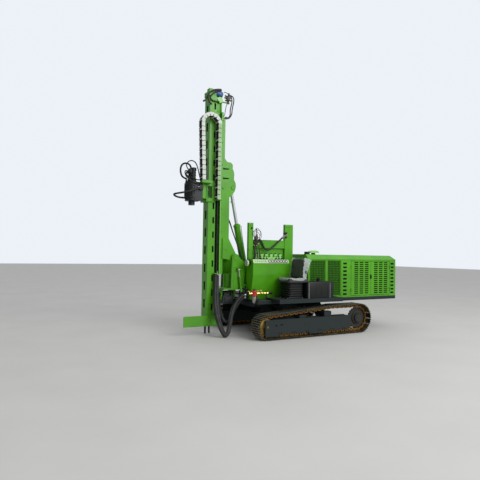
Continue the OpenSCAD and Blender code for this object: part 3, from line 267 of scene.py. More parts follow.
def make_finishes(paint):
    """All the finishes, by their plain names."""
    green, dark, orange = paint.green, paint.frame, paint.rust
    FINISH.update({
        "green_paint": enamel("Lime green enamel", green, 0.34, 0.1, 0.15, (0.3, 0.42, 0.2), low=0.1, streak=0.12,
            level=0.3, Coat_Weight=0.1, Coat_Roughness=0.15),
        "pale_green": enamel("Pale green enamel", (0.27, 0.58, 0.15), 0.4, 0.1, 0.2),
        # The rear run's white side plates, dimmed to a green grey: a painted shade
        "chain_side_painted_shade": enamel("Chain side in painted green shade", (0.33, 0.46, 0.26), 0.5, 0.1, 0.2),
        # A dark green for the shade behind the hood's mesh and inside the carriage's windows: a painted shade
        "painted_green_shade": enamel("Painted green shade behind the mesh", (0.014, 0.06, 0.006), 0.7, 0.1, 0.0, level=0.15),
        "frame_paint": enamel("Blue grey chassis paint", dark, 0.5, 0.3, 0.15, (0.06, 0.06, 0.055), low=0.12,
            streak=0.15, soil=(0.13, 0.125, 0.11), level=0.3),
        "grey_paint": enamel("Grey primer paint", (0.022, 0.026, 0.026), 0.5, 0.25, 0.3, (0.12, 0.12, 0.11), level=0.3),
        "blue_paint": enamel("Blue motor paint", paint.blue, 0.35, 0.15, 0.4),
        "valve_brown": enamel("Greasy valve bodies", (0.085, 0.08, 0.068), 0.5, 0.2, 0.5, (0.2, 0.18, 0.14), grain=0.1),
        "strap_grey": enamel("Grey strap paint", (0.12, 0.125, 0.12), 0.5, 0.2, 0.3),
        # The yellow paint goes near black towards the bottom, from 0.345 m down to 0.255 m, and faces turned up take a
        # little of the same dark
        "rusty_steel": enamel("Yellow paint with rust", (0.36, 0.23, 0.04), 0.65, 0.2, 0.7, (0.16, 0.07, 0.02),
            grain=0.12, streak=0.6, soil=(0.012, 0.01, 0.007), low=0.96, reach=(0.345, 0.255)),
        "drive_paint": enamel("Greasy drive casting", (0.03, 0.03, 0.026), 0.6, 0.2, 0.6, (0.12, 0.075, 0.03),
            grain=0.12, soil=(0.05, 0.04, 0.03), low=0.3, level=0.3),
        "black_iron": enamel("Oily black casting", (0.012, 0.013, 0.013), 0.42, 0.2, 0.4, (0.1, 0.09, 0.075), grain=0.1,
            soil=(0.07, 0.06, 0.05), level=0.4),
        "engine_iron": enamel("Dark engine casting", (0.006, 0.007, 0.006), 0.7, 0.1, 0.2, grain=0.14,
            soil=(0.03, 0.03, 0.03), level=0.2),
        "black_plastic": enamel("Black moulded tank", (0.0055, 0.0065, 0.006), 0.42, 0.18, 0.1, (0.02, 0.02, 0.02),
            grain=0.08, streak=0.2, soil=(0.08, 0.08, 0.075), level=0.3),
        # Near black for sheets and marks that stand for the shade inside the hood, the doors, the leader, slots and
        # slits: a painted shade
        "dark_recess": enamel("Painted shade inside the hood", (0.004, 0.007, 0.003), 0.8, 0.1, 0.0,
            soil=(0.01, 0.012, 0.008), level=0.15),
        "red_plastic": enamel("Red moulded head", (0.5, 0.02, 0.018), 0.3, 0.1, 0.1, grain=0.04),
        "instrument_white": enamel("Pale instrument strip", (0.48, 0.6, 0.38), 0.32, 0.15, 0.2),
        "track_steel": shoe_steel("Track shoe steel", (0.018, 0.016, 0.01), (0.3, 0.29, 0.24), (0.075, 0.062, 0.018)),
        # Link steel: orange where the rollers rub and as a painted highlight on the rails' outer faces
        "track_link": shoe_steel("Track link steel", (0.016, 0.01, 0.005), orange, (0.065, 0.03, 0.008)),
        "bright_metal": metal("Zinc plate", (0.5, 0.5, 0.48), 0.34),
        "chrome_rod": metal("Ground chrome", (0.5, 0.51, 0.52), 0.32, stained=0.25, scale=30, metallic=0.55),
        "brass": metal("Brass", (0.72, 0.5, 0.2), 0.28, (0.3, 0.18, 0.06)),
        "white_link": metal("Pale chain link", (0.6, 0.63, 0.57), 0.5, (0.3, 0.31, 0.27), 0.5, 40, 0.0),
        # The hood's mesh and its rims take the body green darkened by a quarter: a painted shade
        "grille": enamel("Green wire mesh darkened as painted shade", [c * 0.75 for c in green], 0.6, 0.05, 0.1, level=0.2),
        "hose_rubber": rubber("Hydraulic hose", (0.012, 0.013, 0.013), 0.5, dust=0.25, pale=(0.05, 0.05, 0.047),
            level=0.35),
        "hose_sleeve": rubber("Hose sleeve", (0.02, 0.021, 0.02), 0.55, 30.0, 0.45, (0.07, 0.07, 0.065), level=0.35),
        "seat_rubber": rubber("Bellows rubber", (0.0055, 0.0065, 0.0055), 0.55, dust=0.2, pale=(0.03, 0.03, 0.028),
            level=0.3),
        "seat_vinyl": vinyl("Cushion vinyl", (0.036, 0.038, 0.036)),
        # The packing film's faint green tint is a painted reflection of the green hood
        "packing_film": film("Packing film", (0.78, 0.86, 0.8), 0.4),
        "lamp_plastic": clear("Lamp lens", (0.85, 0.86, 0.84), 0.05, Transmission_Weight=0.55, IOR=1.49),
        "clear_bowl": clear("Clear bowl", (0.62, 0.6, 0.5), 0.06, Transmission_Weight=0.6, IOR=1.49),
        "dial": clear("Dial face", (0.66, 0.7, 0.62), 0.2),
    })


# Shapes

def tile(x0, y0, x1, y1):
    """The outline of a rectangle."""
    return [(x0, y0), (x1, y0), (x1, y1), (x0, y1)]


def squircle(a, power):
    """The point of a rounded square at an angle."""
    x, y = cos(a), sin(a)
    p = (abs(x) ** power + abs(y) ** power) ** (-1 / power)
    return x * p, y * p


def circle(at, u, v, n, start=0.0):
    """n points round a centre, by way of at + u and at + v."""
    return [at + u * cos(a) + v * sin(a) for a in (start + 2 * pi * i / n for i in range(n))]


def evaluated(o):
    """The object's mesh as its modifiers leave it."""
    dg = bpy.context.evaluated_depsgraph_get()
    made = bpy.data.meshes.new_from_object(o.evaluated_get(dg), preserve_all_data_layers=True, depsgraph=dg)
    o.modifiers.clear()
    return made


class Shape:
    """A mesh in the making, in metres, in the rig's own frame."""

    def __init__(self, made=None):
        self.bm = made or bmesh.new()

    def box(self, lo, hi, edge=0.0):
        lo, hi = Vector(lo), Vector(hi)
        vs = bmesh.ops.create_cube(self.bm, size=1)["verts"]
        for v in vs:
            v.co = Vector(l + (c + 0.5) * (h - l) for l, h, c in zip(lo, hi, v.co))
        if edge:
            edges = list({e for v in vs for e in v.link_edges})
            bmesh.ops.bevel(self.bm, geom=edges, offset=edge, segments=2, profile=0.5, affect="EDGES",
                clamp_overlap=True)
        return self

    def slab(self, x, y, z, edge=0.0):
        """A box from pairs of values in any order."""
        return self.box(*zip(*map(sorted, (x, y, z))), edge)

    def skin(self, rings, loop=True, caps=True):
        """Faces between rows of vertices, and over the first and the last row."""
        for p, q in zip(rings, rings[1:]):
            for i in range(len(p) if loop else len(p) - 1):
                j = (i + 1) % len(p)
                self.bm.faces.new((p[i], p[j], q[j], q[i]))
        if caps:
            self.bm.faces.new(rings[0][::-1]), self.bm.faces.new(rings[-1])
        return self

    def disc(self, r, h, at, axis=Z, n=24):
        return self.lathe([(0, 0), (r, 0), (r, h), (0, h)], at, axis, n)

    def ring(self, inner, outer, h, at, axis=Z, n=24):
        return self.lathe([(inner, 0), (outer, 0), (outer, h), (inner, h), (inner, 0)], at, axis, n)

    def prism(self, outline, at, u, v, depth):
        """An outline in the plane of u and v, drawn out along depth."""
        at, u, v, depth = Vector(at), Vector(u), Vector(v), Vector(depth)
        a = [self.bm.verts.new(at + u * p + v * q) for p, q in outline]
        b = [self.bm.verts.new(x.co + depth) for x in a]
        self.bm.faces.new(a), self.bm.faces.new(b[::-1])
        for i in range(len(a)):
            j = (i + 1) % len(a)
            self.bm.faces.new((a[j], a[i], b[i], b[j]))
        return self

    def upright(self, outline, y, wide, x=0, z=0):
        """An outline in X and Z, drawn out along Y."""
        return self.prism(outline, (x, y, z), X, Z, (0, wide, 0))

    def lathe(self, profile, at, axis=Z, n=24):
        """A profile of (radius, height) pairs turned about an axis. A radius of 0 closes an end."""
        at, axis = Vector(at), Vector(axis).normalized()
        side = axis.orthogonal().normalized()
        up = axis.cross(side)
        rings = []
        for r, h in profile:
            c = at + axis * h
            if r <= 1e-6:
                rings.append([self.bm.verts.new(c)])
            else:
                rings.append([self.bm.verts.new(p) for p in circle(c, side * r, up * r, n)])
        for p, q in zip(rings, rings[1:]):
            for i in range(n):
                j = (i + 1) % n
                if len(p) == 1 and len(q) > 1:
                    self.bm.faces.new((p[0], q[i], q[j]))
                elif len(q) == 1 and len(p) > 1:
                    self.bm.faces.new((p[i], q[0], p[j]))
                elif len(p) > 1:
                    self.bm.faces.new((p[i], q[i], q[j], p[j]))
        return self

    def rod(self, a, b, r, n=20, edge=None, hollow=0.0):
        a, b = Vector(a), Vector(b)
        l, e = (b - a).length, min(r * 0.12, 0.004) if edge is None else edge
        if hollow:
            return self.lathe([(hollow, e), (hollow, l - e), (r - e, l), (r, l - e), (r, e), (r - e, 0), (hollow, 0),
                (hollow, e)], a, b - a, n)
        return self.lathe([(0, 0), (r - e, 0), (r, e), (r, l - e), (r - e, l), (0, l)], a, b - a, n)

    def tube(self, points, r, n=12):
        """A round tube swept along points, with flat ends."""
        pts = [Vector(p) for p in points]
        t = (pts[1] - pts[0]).normalized()
        side, rings = t.orthogonal().normalized(), []
        for i, p in enumerate(pts):
            d = (pts[min(i + 1, len(pts) - 1)] - pts[max(i - 1, 0)]).normalized()
            side = (side - d * side.dot(d)).normalized()
            up = d.cross(side)
            rings.append([self.bm.verts.new(q) for q in circle(p, side * r, up * r, n)])
        return self.skin(rings)

    def hexagon(self, at, axis, r, h):
        return self.lathe([(0, 0), (r, 0), (r, h * 0.85), (r * 0.88, h), (0, h)], at, axis, 6)

    def mesh(self, name, angle=32, wear_and_highlight=None):
        bmesh.ops.remove_doubles(self.bm, verts=self.bm.verts, dist=1e-6)
        bmesh.ops.recalc_face_normals(self.bm, faces=self.bm.faces)
        m = bpy.data.meshes.new(name)
        self.bm.to_mesh(m)
        self.bm.free()
        m.shade_smooth()
        m.set_sharp_from_angle(angle=radians(angle))
        if wear_and_highlight:
            m.attributes.new("wear_and_highlight", "FLOAT", "POINT").data.foreach_set("value", [wear_and_highlight(v.co) for v in m.vertices])
        return m

    def put(self, name, finish, body="chassis", replaces=(), angle=32):
        """Makes the piece and lets it ride on a body."""
        return place(name, self.mesh(name, angle), finish, body, replaces)


def place(name, mesh, finish, body="chassis", replaces=()):
    o = bpy.data.objects.new(name, mesh)
    bpy.context.scene.collection.objects.link(o)
    mesh.materials.clear()
    mesh.materials.append(FINISH[finish])
    if body:
        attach(o, body)
    if replaces:
        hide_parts(*replaces)
    return o


def smooth_path(points, steps=5):
    """Points close together on a smooth curve through the given ones."""
    p = [Vector(q) for q in points]
    out = []
    for i in range(len(p) - 1):
        a, b, c, d = p[max(i - 1, 0)], p[i], p[i + 1], p[min(i + 2, len(p) - 1)]
        for k in range(steps):
            t = k / steps
            out.append(0.5 * ((2 * b) + (c - a) * t + (2 * a - 5 * b + 4 * c - d) * t * t
                + (3 * b - a - 3 * c + d) * t ** 3))
    return out + [p[-1]]


# Geometry node trees

def new_tree(name, sockets):
    t = bpy.data.node_groups.new(name, "GeometryNodeTree")
    t.interface.new_socket("Geometry", in_out="INPUT", socket_type="NodeSocketGeometry")
    for label, kind, value in sockets:
        s = t.interface.new_socket(label, in_out="INPUT", socket_type=kind)
        if value is not None:
            s.default_value = value
    t.interface.new_socket("Geometry", in_out="OUTPUT", socket_type="NodeSocketGeometry")
    return t, add(t, "NodeGroupInput"), add(t, "NodeGroupOutput")


def repeat_tree():
    """Places a unit at each point, turned by the point's own rotation."""
    t, i, o = new_tree("Unit at each place", [("Unit", "NodeSocketObject", None),
        ("Finish", "NodeSocketMaterial", None)])
    unit = add(t, "GeometryNodeObjectInfo", {"Object": i.outputs["Unit"]})
    turn = add(t, "GeometryNodeInputNamedAttribute", {"Name": "turn"}, data_type="QUATERNION")
    put = add(t, "GeometryNodeInstanceOnPoints", {"Points": i.outputs["Geometry"], "Instance": unit.outputs["Geometry"],
        "Rotation": turn.outputs[0]})
    real = add(t, "GeometryNodeRealizeInstances", {"Geometry": put.outputs[0]})
    done = add(t, "GeometryNodeSetMaterial", {"Geometry": real.outputs[0], "Material": i.outputs["Finish"]})
    t.links.new(done.outputs[0], o.inputs[0])
    return t


def pipe_tree():
    """Draws a round pipe along each line of points."""
    t, i, o = new_tree("Pipe along a line", [("Radius", "NodeSocketFloat", 0.01), ("Sides", "NodeSocketInt", 10),
        ("Steps", "NodeSocketInt", 5), ("Finish", "NodeSocketMaterial", None)])
    line = add(t, "GeometryNodeMeshToCurve", {"Mesh": i.outputs["Geometry"]})
    kind = add(t, "GeometryNodeCurveSplineType", {"Curve": line.outputs[0]}, spline_type="CATMULL_ROM")
    fine = add(t, "GeometryNodeSetSplineResolution", {"Geometry": kind.outputs[0], "Resolution": i.outputs["Steps"]})
    ring = add(t, "GeometryNodeCurvePrimitiveCircle", {"Resolution": i.outputs["Sides"], "Radius": i.outputs["Radius"]})
    skin = add(t, "GeometryNodeCurveToMesh", {"Curve": fine.outputs[0], "Profile Curve": ring.outputs[0],
        "Fill Caps": True})
    flat = add(t, "GeometryNodeSetShadeSmooth", {"Geometry": skin.outputs[0], "Shade Smooth": True})
    real = add(t, "GeometryNodeRealizeInstances", {"Geometry": flat.outputs[0]})
    done = add(t, "GeometryNodeSetMaterial", {"Geometry": real.outputs[0], "Material": i.outputs["Finish"]})
    t.links.new(done.outputs[0], o.inputs[0])
    return t


TREES = {}


def grown(name, mesh, tree, values, finish, body="chassis", replaces=()):
    """Runs a tree on a mesh and keeps the result as a plain mesh."""
    if tree not in TREES:
        TREES[tree] = {"repeat": repeat_tree, "pipe": pipe_tree}[tree]()
    o = bpy.data.objects.new(name, mesh)
    bpy.context.scene.collection.objects.link(o)
    mod = o.modifiers.new(name, "NODES")
    mod.node_group = TREES[tree]
    ids = {s.name: s.identifier for s in TREES[tree].interface.items_tree if s.in_out == "INPUT"}
    for key, value in {**values, "Finish": FINISH[finish]}.items():
        mod[ids[key]] = value
    made = evaluated(o)
    made.name = name
    bpy.data.objects.remove(o)
    return place(name, made, finish, body, replaces)


def repeated(name, unit, places, finish, body="chassis", replaces=()):
    """The unit mesh at each of (point, its own Z way, its own X way)."""
    holder = bpy.data.objects.new(name + "_unit", unit)
    bpy.context.scene.collection.objects.link(holder)
    base = bpy.data.meshes.new(name + "_places")
    base.from_pydata([tuple(p[0]) for p in places], [], [])
    turn = base.attributes.new("turn", "QUATERNION", "POINT")
    for i, p in enumerate(places):
        z = Vector(p[1]).normalized()
        x = Vector(p[2]) if len(p) > 2 else z.orthogonal()
        x = (x - z * x.dot(z)).normalized()
        q = Matrix((x, z.cross(x), z)).transposed().to_quaternion()
        turn.data[i].value = (q.w, q.x, q.y, q.z)
    o = grown(name, base, "repeat", {"Unit": holder}, finish, body, replaces)
    bpy.data.objects.remove(holder)
    return o


def piped(name, routes, radius, finish="hose_rubber", body="chassis", sides=10, steps=5):
    base = bpy.data.meshes.new(name + "_lines")
    pts = [tuple(p) for r in routes for p in r]
    edges, k = [], 0
    for r in routes:
        edges += [(k + i, k + i + 1) for i in range(len(r) - 1)]
        k += len(r)
    base.from_pydata(pts, edges, [])
    return grown(name, base, "pipe", {"Radius": radius, "Sides": sides, "Steps": steps}, finish, body)


def bolt(r=0.012, h=0.01):
    """A hexagon head on a washer, its foot at the origin."""
    s = Shape()
    s.disc(r * 1.35, 0.0025, (0, 0, 0), Z, 16)
    s.hexagon((0, 0, 0.002), Z, r, h)
    return s.mesh("bolt", 25)


def bolts(name, places, finish="bright_metal", r=0.012, h=0.01, body="chassis"):
    return repeated(name, bolt(r, h), places, finish, body)


# Sizes and colours

def colour_prop(name, text, value):
    return bpy.props.FloatVectorProperty(name=name, description=text, subtype="COLOR", size=3, min=0, max=1,
        default=value)


def length_prop(name, text, value, low, high):
    return bpy.props.FloatProperty(name=name, description=text, default=value, min=low, max=high, subtype="DISTANCE",
        unit="LENGTH")


class RigPaint(bpy.types.PropertyGroup):
    """Colours of the rig"""
    green: colour_prop("Body green", "Enamel of the hood, console and mast", (0.072, 0.315, 0.005))
    frame: colour_prop("Chassis", "Paint of the deck and the track frames", (0.008, 0.016, 0.017))
    blue: colour_prop("Motor blue", "Paint of the feed motor", (0.035, 0.1, 0.3))
    # Orange of the rubbed rails and of the painted highlight on the links' outer faces
    rust: colour_prop("Link orange", "Rubbed colour of the track links", (0.42, 0.2, 0.035))


class RigSizes(bpy.types.PropertyGroup):
    """Sizes of the rig's small parts"""
    rib: length_prop("Shoe rib", "Height of a track shoe's ribs", 0.035, 0.025, 0.045)
    wire: length_prop("Mesh wire", "Radius of a wire of the hood's mesh", 0.0045, 0.003, 0.006)
    weave: length_prop("Mesh pitch", "Distance between the mesh's wires", 0.042, 0.03, 0.06)
    rung: length_prop("Chain rung", "Height of a rung of the energy chain", 0.028, 0.01, 0.04)


# Stage, camera and cords

class RIG_OT_stage(bpy.types.Operator):
    """Pale floor, soft studio light and the camera at the photograph's angle"""
    bl_idname, bl_label = "rig.stage", "Stage"

    def execute(self, context):
        yaw, pitch, roll = (radians(a) for a in (-118.73, 1.79, 0.95))
        ahead = Vector((cos(yaw) * cos(pitch), sin(yaw) * cos(pitch), sin(pitch)))
        right = ahead.cross(Z).normalized()
        up = right.cross(ahead)
        r = right * cos(roll) + up * sin(roll)
        u = up * cos(roll) - right * sin(roll)
        data = bpy.data.cameras.new("Camera")
        data.sensor_width, data.lens, data.clip_end = 36, 36 * 450 / 480, 300
        cam = bpy.data.objects.new("Camera", data)
        cam.matrix_world = Matrix.Translation((6.276, 9.18, 1.8)) @ Matrix((r, u, -ahead)).transposed().to_4x4()
        scene = context.scene
        scene.collection.objects.link(cam)
        scene.camera = cam

        floor = bpy.data.meshes.new("floor")
        floor.from_pydata([(-60, -60, 0), (60, -60, 0), (60, 60, 0), (-60, 60, 0)], [], [(0, 1, 2, 3)])
        o = bpy.data.objects.new("floor", floor)
        scene.collection.objects.link(o)
        m, t, s, at = blank("Pale floor", (0.52, 0.51, 0.49), 0.9, level=0.2)
        t.links.new(mix(t, noise(t, at, 0.8, 4), rgb((0.48, 0.47, 0.45)), rgb((0.56, 0.55, 0.53))),
            s.inputs["Base Color"])
        floor.materials.append(m)

        world = bpy.data.worlds.new("World")
        world.use_nodes = True
        t = world.node_tree
        # The studio is bright but for its front side, so that the mast's front faces lie in soft shade
        way = add(t, "ShaderNodeSeparateXYZ", {0: add(t, "ShaderNodeTexCoord").outputs["Generated"]}).outputs
        sky = mix(t, remap(t, way["X"], 0.02, 0.7), (0.9, 0.95, 1.0, 1), (0.16, 0.17, 0.19, 1))
        t.links.new(mix(t, remap(t, way["Z"], 0.55, 0.95), sky, (1.0, 1.0, 1.0, 1)),
            t.nodes["Background"].inputs["Color"])
        t.nodes["Background"].inputs["Strength"].default_value = 0.93
        scene.world = world
        scene.view_settings.view_transform = "Standard"
        light = bpy.data.lights.new("key", "AREA")
        light.size, light.energy = 9, 1500
        lamp = bpy.data.objects.new("key", light)
        lamp.location = (-3, 14, 10)
        lamp.rotation_mode = "QUATERNION"
        lamp.rotation_quaternion = (Vector((0, 0, 1.2)) - lamp.location).to_track_quat("-Z", "Y")
        scene.collection.objects.link(lamp)
        return {"FINISHED"}


class RIG_OT_cords(bpy.types.Operator):
    """The two hoses that hang at the mast's foot and the one that sags on the hose frame"""
    bl_idname, bl_label = "rig.cords", "Hanging hoses"

    def execute(self, context):
        hoses = [
            ("near_hose", "hose_loop_near", NEAR_ROUTE, 0.028, "hose_sleeve", None),
            ("far_hose", "hose_loop_far", FAR_ROUTE, 0.028, "hose_sleeve", None),
            ("sagging_hose", "frame_hose", FRAME_ROUTE, 0.02, "hose_rubber", "chassis"),
        ]
        for name, node, route, r, finish, body in hoses:
            path = smooth_path(route, 4)
            o = Shape().tube(path, r, 16).put(name, finish, body, [node], 60)
            if body is None:
                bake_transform(o)
        # A woven wrap holds the two together below the bar, and a second wrapped pair hangs outside it
        one, two = smooth_path(NEAR_ROUTE, 4), smooth_path(FAR_ROUTE, 4)
        turns = [pi * (2 * j + 1) / 24 for j in range(24)]
        for name, out, first, last in (("hose_wrap", 0.0, 4, 25), ("hose_wrap_outer", 0.052, 0, len(one) - 6)):
            wrap, rings = Shape(), []
            for i in range(first, last):
                t = i / len(one)
                a = one[i]
                b = two[i] if not out else a + Vector((-0.012, -0.052, 0))
                e = (a - b).normalized()
                side = e.cross((one[i + 1] - one[i - 1 if i else 0]).normalized()).normalized()
                away = out * (1 - t ** 4) * Vector((cos(1.7 * t), 0, -0.3 * sin(1.7 * t)))
                k = 0.0335 + 0.0012 * (i % 2)
                rings.append([wrap.bm.verts.new((a if cos(q) >= 0 else b) + away + k * (cos(q) * e + sin(q) * side))
                    for q in turns])
            o = wrap.skin(rings).put(name, "hose_sleeve", None, angle=60)
            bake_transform(o)
        ends = Shape()
        for y in (0.2, 0.14):
            ends.ring(0.0285, 0.033, -0.018, (1.905, y, 1.3515))
        ends.put("hose_collars_top", "bright_metal", "mast_guide")
        low = Shape()
        for z in (0.89, 0.83):
            low.ring(0.0285, 0.034, 0.03, (1.3185, 0.425, z), X)
        low.put("hose_collars_low", "bright_metal", "mast_bracket")
        Shape().lathe([(0.0203, 0), (0.025, 0), (0.026, 0.03), (0.0203, 0.03), (0.0203, 0)], (0.235, 0.4055, 2.256), Y,
            16).put("sagging_hose_end", "brass")
        # A light sleeve where the hose leaves the rear post
        near = [p for p in smooth_path(FRAME_ROUTE, 4) if p.x < 0.4]
        Shape().tube(near[1:-6], 0.0235, 14).put("sagging_hose_sleeve", "strap_grey", angle=60)
        Shape().rod((0.9995, 0.43, 2.13), (0.955, 0.4303, 2.122), 0.026, 16, hollow=0.0203).put("sagging_hose_collar",
            "black_iron")
        return {"FINISHED"}


class RIG_OT_finishes(bpy.types.Operator):
    """Gives each CAD node its own finish"""
    bl_idname, bl_label = "rig.finishes", "Finishes"

    def execute(self, context):
        slots = {p["node"]: p["material_slot"] for p in frame["record"]["subparts"]}
        special = {"exhaust": "black_iron", "drill_motors": "black_iron", "valve_bank": "pale_green",
            "head_valves": "black_iron", "console_controls": "black_plastic", "tilt_pin": "green_paint",
            "sprocket_left": "drive_paint", "sprocket_right": "drive_paint", "lean_shaft": "grey_paint",
            "spindle": "black_iron"}
        for name, node in NODES.items():
            node.data.materials.clear()
            node.data.materials.append(FINISH[special.get(name, slots[name])])
        return {"FINISHED"}


# Crawler

IDLER, SPROCKET, CREST = 1.177, -1.355, -0.6
FRONT_R, REAR_R, LINK_H, SHOES, TRACK_Y, SHOE_W = 0.235, 0.305, 0.062, 52, 1.06, 0.35
DRIVE_Z = 0.34


def belt(rib):
    """Places along the belt's inner face: point, way out of the belt and way along it."""
    fz, rz = FRONT_R + rib, REAR_R + rib
    a = atan2(fz - rz, IDLER - CREST) + acos((REAR_R - FRONT_R) / hypot(IDLER - CREST, fz - rz))
    runs = [IDLER - SPROCKET, FRONT_R * (pi / 2 + a), sqrt((IDLER - CREST) ** 2 + (fz - rz) ** 2
        - (REAR_R - FRONT_R) ** 2), REAR_R * (pi / 2 - a), CREST - SPROCKET, pi * REAR_R]
    total = sum(runs)

    def at(s):
        s %= total
        for k, run in enumerate(runs):
            if s < run or k == 5:
                break
            s -= run
        if k == 0:
            return Vector((SPROCKET + s, 0, rib)), -Z
        if k in (1, 3, 5):
            cx, cz, r, start = ((IDLER, fz, FRONT_R, -pi / 2), (CREST, rz, REAR_R, a),
                (SPROCKET, rz, REAR_R, pi / 2))[k // 2]
            t = start + s / r
            out = Vector((cos(t), 0, sin(t)))
            return Vector((cx, 0, cz)) + out * r, out
        if k == 2:
            out = Vector((cos(a), 0, sin(a)))
            return Vector((IDLER, 0, fz)) + out * FRONT_R + Vector((-out.z, 0, out.x)) * s, out
        return Vector((CREST - s, 0, rz + REAR_R)), Z
    return at, total


class RIG_OT_tracks(bpy.types.Operator):
    """Track shoes with three ribs, bolted to their chain of links"""
    bl_idname, bl_label = "rig.tracks", "Tracks"

    def execute(self, context):
        rib = context.scene.rig_sizes.rib
        at, total = belt(rib)
        p = total / SHOES
        w = SHOE_W / 2 - 0.004
        # One shoe: Z is out of the belt, X is along it
        outline = [(-0.5, 0.02), (-0.5, 0.2), (-0.435, 0.3), (-0.4, 0.96), (-0.36, 1.0), (-0.33, 0.96), (-0.27, 0.32),
            (-0.1, 0.3), (-0.045, 0.94), (0.0, 0.99), (0.045, 0.94), (0.1, 0.3), (0.27, 0.32), (0.33, 0.96),
            (0.36, 1.0), (0.4, 0.96), (0.435, 0.3), (0.47, 0.2), (0.47, 0.02)]
        shoe = Shape().upright([(u * p, v * rib) for u, v in outline], -w, 2 * w)
        plate = shoe.mesh("shoe", 40, wear_and_highlight=lambda c: max(0.0, (c.z / rib - 0.45) / 0.5))
        bolt_head = bolt(0.011, 0.009)
        # One link: two side bars with a dark waist of painted shade, round bosses and a rail that the rollers rub
        # bright, its outer face orange as a painted highlight
        link = Shape()
        side = [(-0.46, -0.3), (-0.46, -0.72), (-0.36, -0.93), (0.26, -0.93), (0.4, -0.8), (0.46, -0.6), (0.46, -0.25),
            (0.34, -0.02), (-0.34, -0.02)]
        rail = [(-0.4, -0.7), (-0.34, -1.0), (0.24, -1.0), (0.34, -0.84), (0.16, -0.7), (-0.1, -0.74)]
        for s in (1, -1):
            link.upright([(u * p, v * LINK_H) for u, v in side], s * 0.049, -s * 0.018)
            link.upright([(u * p, v * LINK_H) for u, v in rail], s * 0.0549, -s * 0.022)
            for u, r in ((0.31, 0.021), (-0.33, 0.024)):
                link.rod((u * p, s * 0.03, -LINK_H * 0.5), (u * p, s * 0.0549, -LINK_H * 0.5), r, 12, 0.003)
                link.rod((u * p, s * 0.05, -LINK_H * 0.5), (u * p, s * 0.0505, -LINK_H * 0.5), r, 12, 0.0)
        link.rod((0.31 * p, -0.031, -LINK_H * 0.5), (0.31 * p, 0.031, -LINK_H * 0.5), 0.02, 10)
        # The rollers rub the rail's underside bright; the rails' outer faces take a painted highlight and the side bars
        # stay dark as painted shade
        chain = link.mesh("link", 40, wear_and_highlight=lambda c: 1.0 if c.z < -LINK_H * 0.9 else 0.85 if abs(c.y) > 0.0535 else 0.0)
        for side, name in ((1, "left"), (-1, "right")):
            middle = Vector((0, side * TRACK_Y, 0))
            shoes, heads = [], []
            for i in range(SHOES):
                q, out = at(i * p)
                along = Vector((-out.z, 0, out.x))
                shoes.append((q + middle, out, along))
                heads += [(q + middle + out * rib * 0.28 + along * u * p + Y * v, out) for u in (-0.2, 0.2)
                    for v in (-0.045, 0.045)]
            repeated("track_shoes_" + name, plate.copy(), shoes, "track_steel", replaces=["track_" + name])
            repeated("track_links_" + name, chain.copy(), shoes, "track_link")
            repeated("shoe_bolts_" + name, bolt_head.copy(), heads, "drive_paint")
        return {"FINISHED"}


class RIG_OT_running_gear(bpy.types.Operator):
    """Bolts, covers and guards of the track frames, idlers and final drives"""
    bl_idname, bl_label = "rig.running_gear", "Running gear"

    def execute(self, context):
        places, drive = [], []
        plates, marks = Shape(), Shape()
        for s in (1, -1):
            y = s * (TRACK_Y + 0.105)
            places += [((-0.9 + i * 0.35 + dx, y, 0.14), Y * s) for i in range(6) for dx in (-0.03, 0.03)]
            drive += [(p, Y * s) for p in circle(Vector((SPROCKET, s * (TRACK_Y + 0.092), DRIVE_Z)), X * 0.092,
                Z * 0.092, 12, radians(15))]
            # Grease valve's slot and its round plug on the side plate, both near black as painted shade
            marks.upright([(-0.04, -0.012), (0.028, -0.012), (0.04, 0), (0.028, 0.012), (-0.04, 0.012)], y - s * 0.001,
                s * 0.002, 0.835, 0.305)
            marks.lathe([(0, 0), (0.017, 0), (0.017, 0.003), (0.01, 0.006), (0, 0.006)], (0.965, y, 0.298), Y * s, 16)
            plates.ring(0.018, 0.026, 0.003, (0.965, y, 0.298), Y * s, 20)
            # Weld bead along the side plate's top edge
            plates.tube([(-1.09, y - s * 0.002, 0.4185), (1.23, y - s * 0.002, 0.4185)], 0.003, 6)
        plates.put("track_frame_covers", "frame_paint")
        marks.put("track_frame_marks", "dark_recess")
        bolts("roller_bolts", places, "frame_paint", 0.014, 0.011)
        bolts("drive_bolts", drive, "drive_paint", 0.01, 0.009)
        ring = Shape()
        for s in (1, -1):
            ring.lathe([(0.0, 0), (0.026, 0), (0.028, 0.006), (0.02, 0.012), (0, 0.012)],
                (SPROCKET, s * (TRACK_Y + 0.104), DRIVE_Z), Y * s, 16)
            ring.lathe([(0.118, 0), (0.15, 0), (0.15, 0.01), (0.118, 0.016), (0.118, 0)],
                (SPROCKET, s * (TRACK_Y + 0.04), DRIVE_Z), Y * s, 32)
        ring.put("drive_rings", "drive_paint")
        return {"FINISHED"}


# Hood

HOOD_Y = 0.86
WINDOWS = (-0.59, -0.13), (-1.06, -0.65)
DOORS = (("door_left_front", -2.033, 1), ("door_left_rear", -2.69, 1), ("door_right_front", -2.033, -1),
    ("door_right_rear", -2.69, -1))


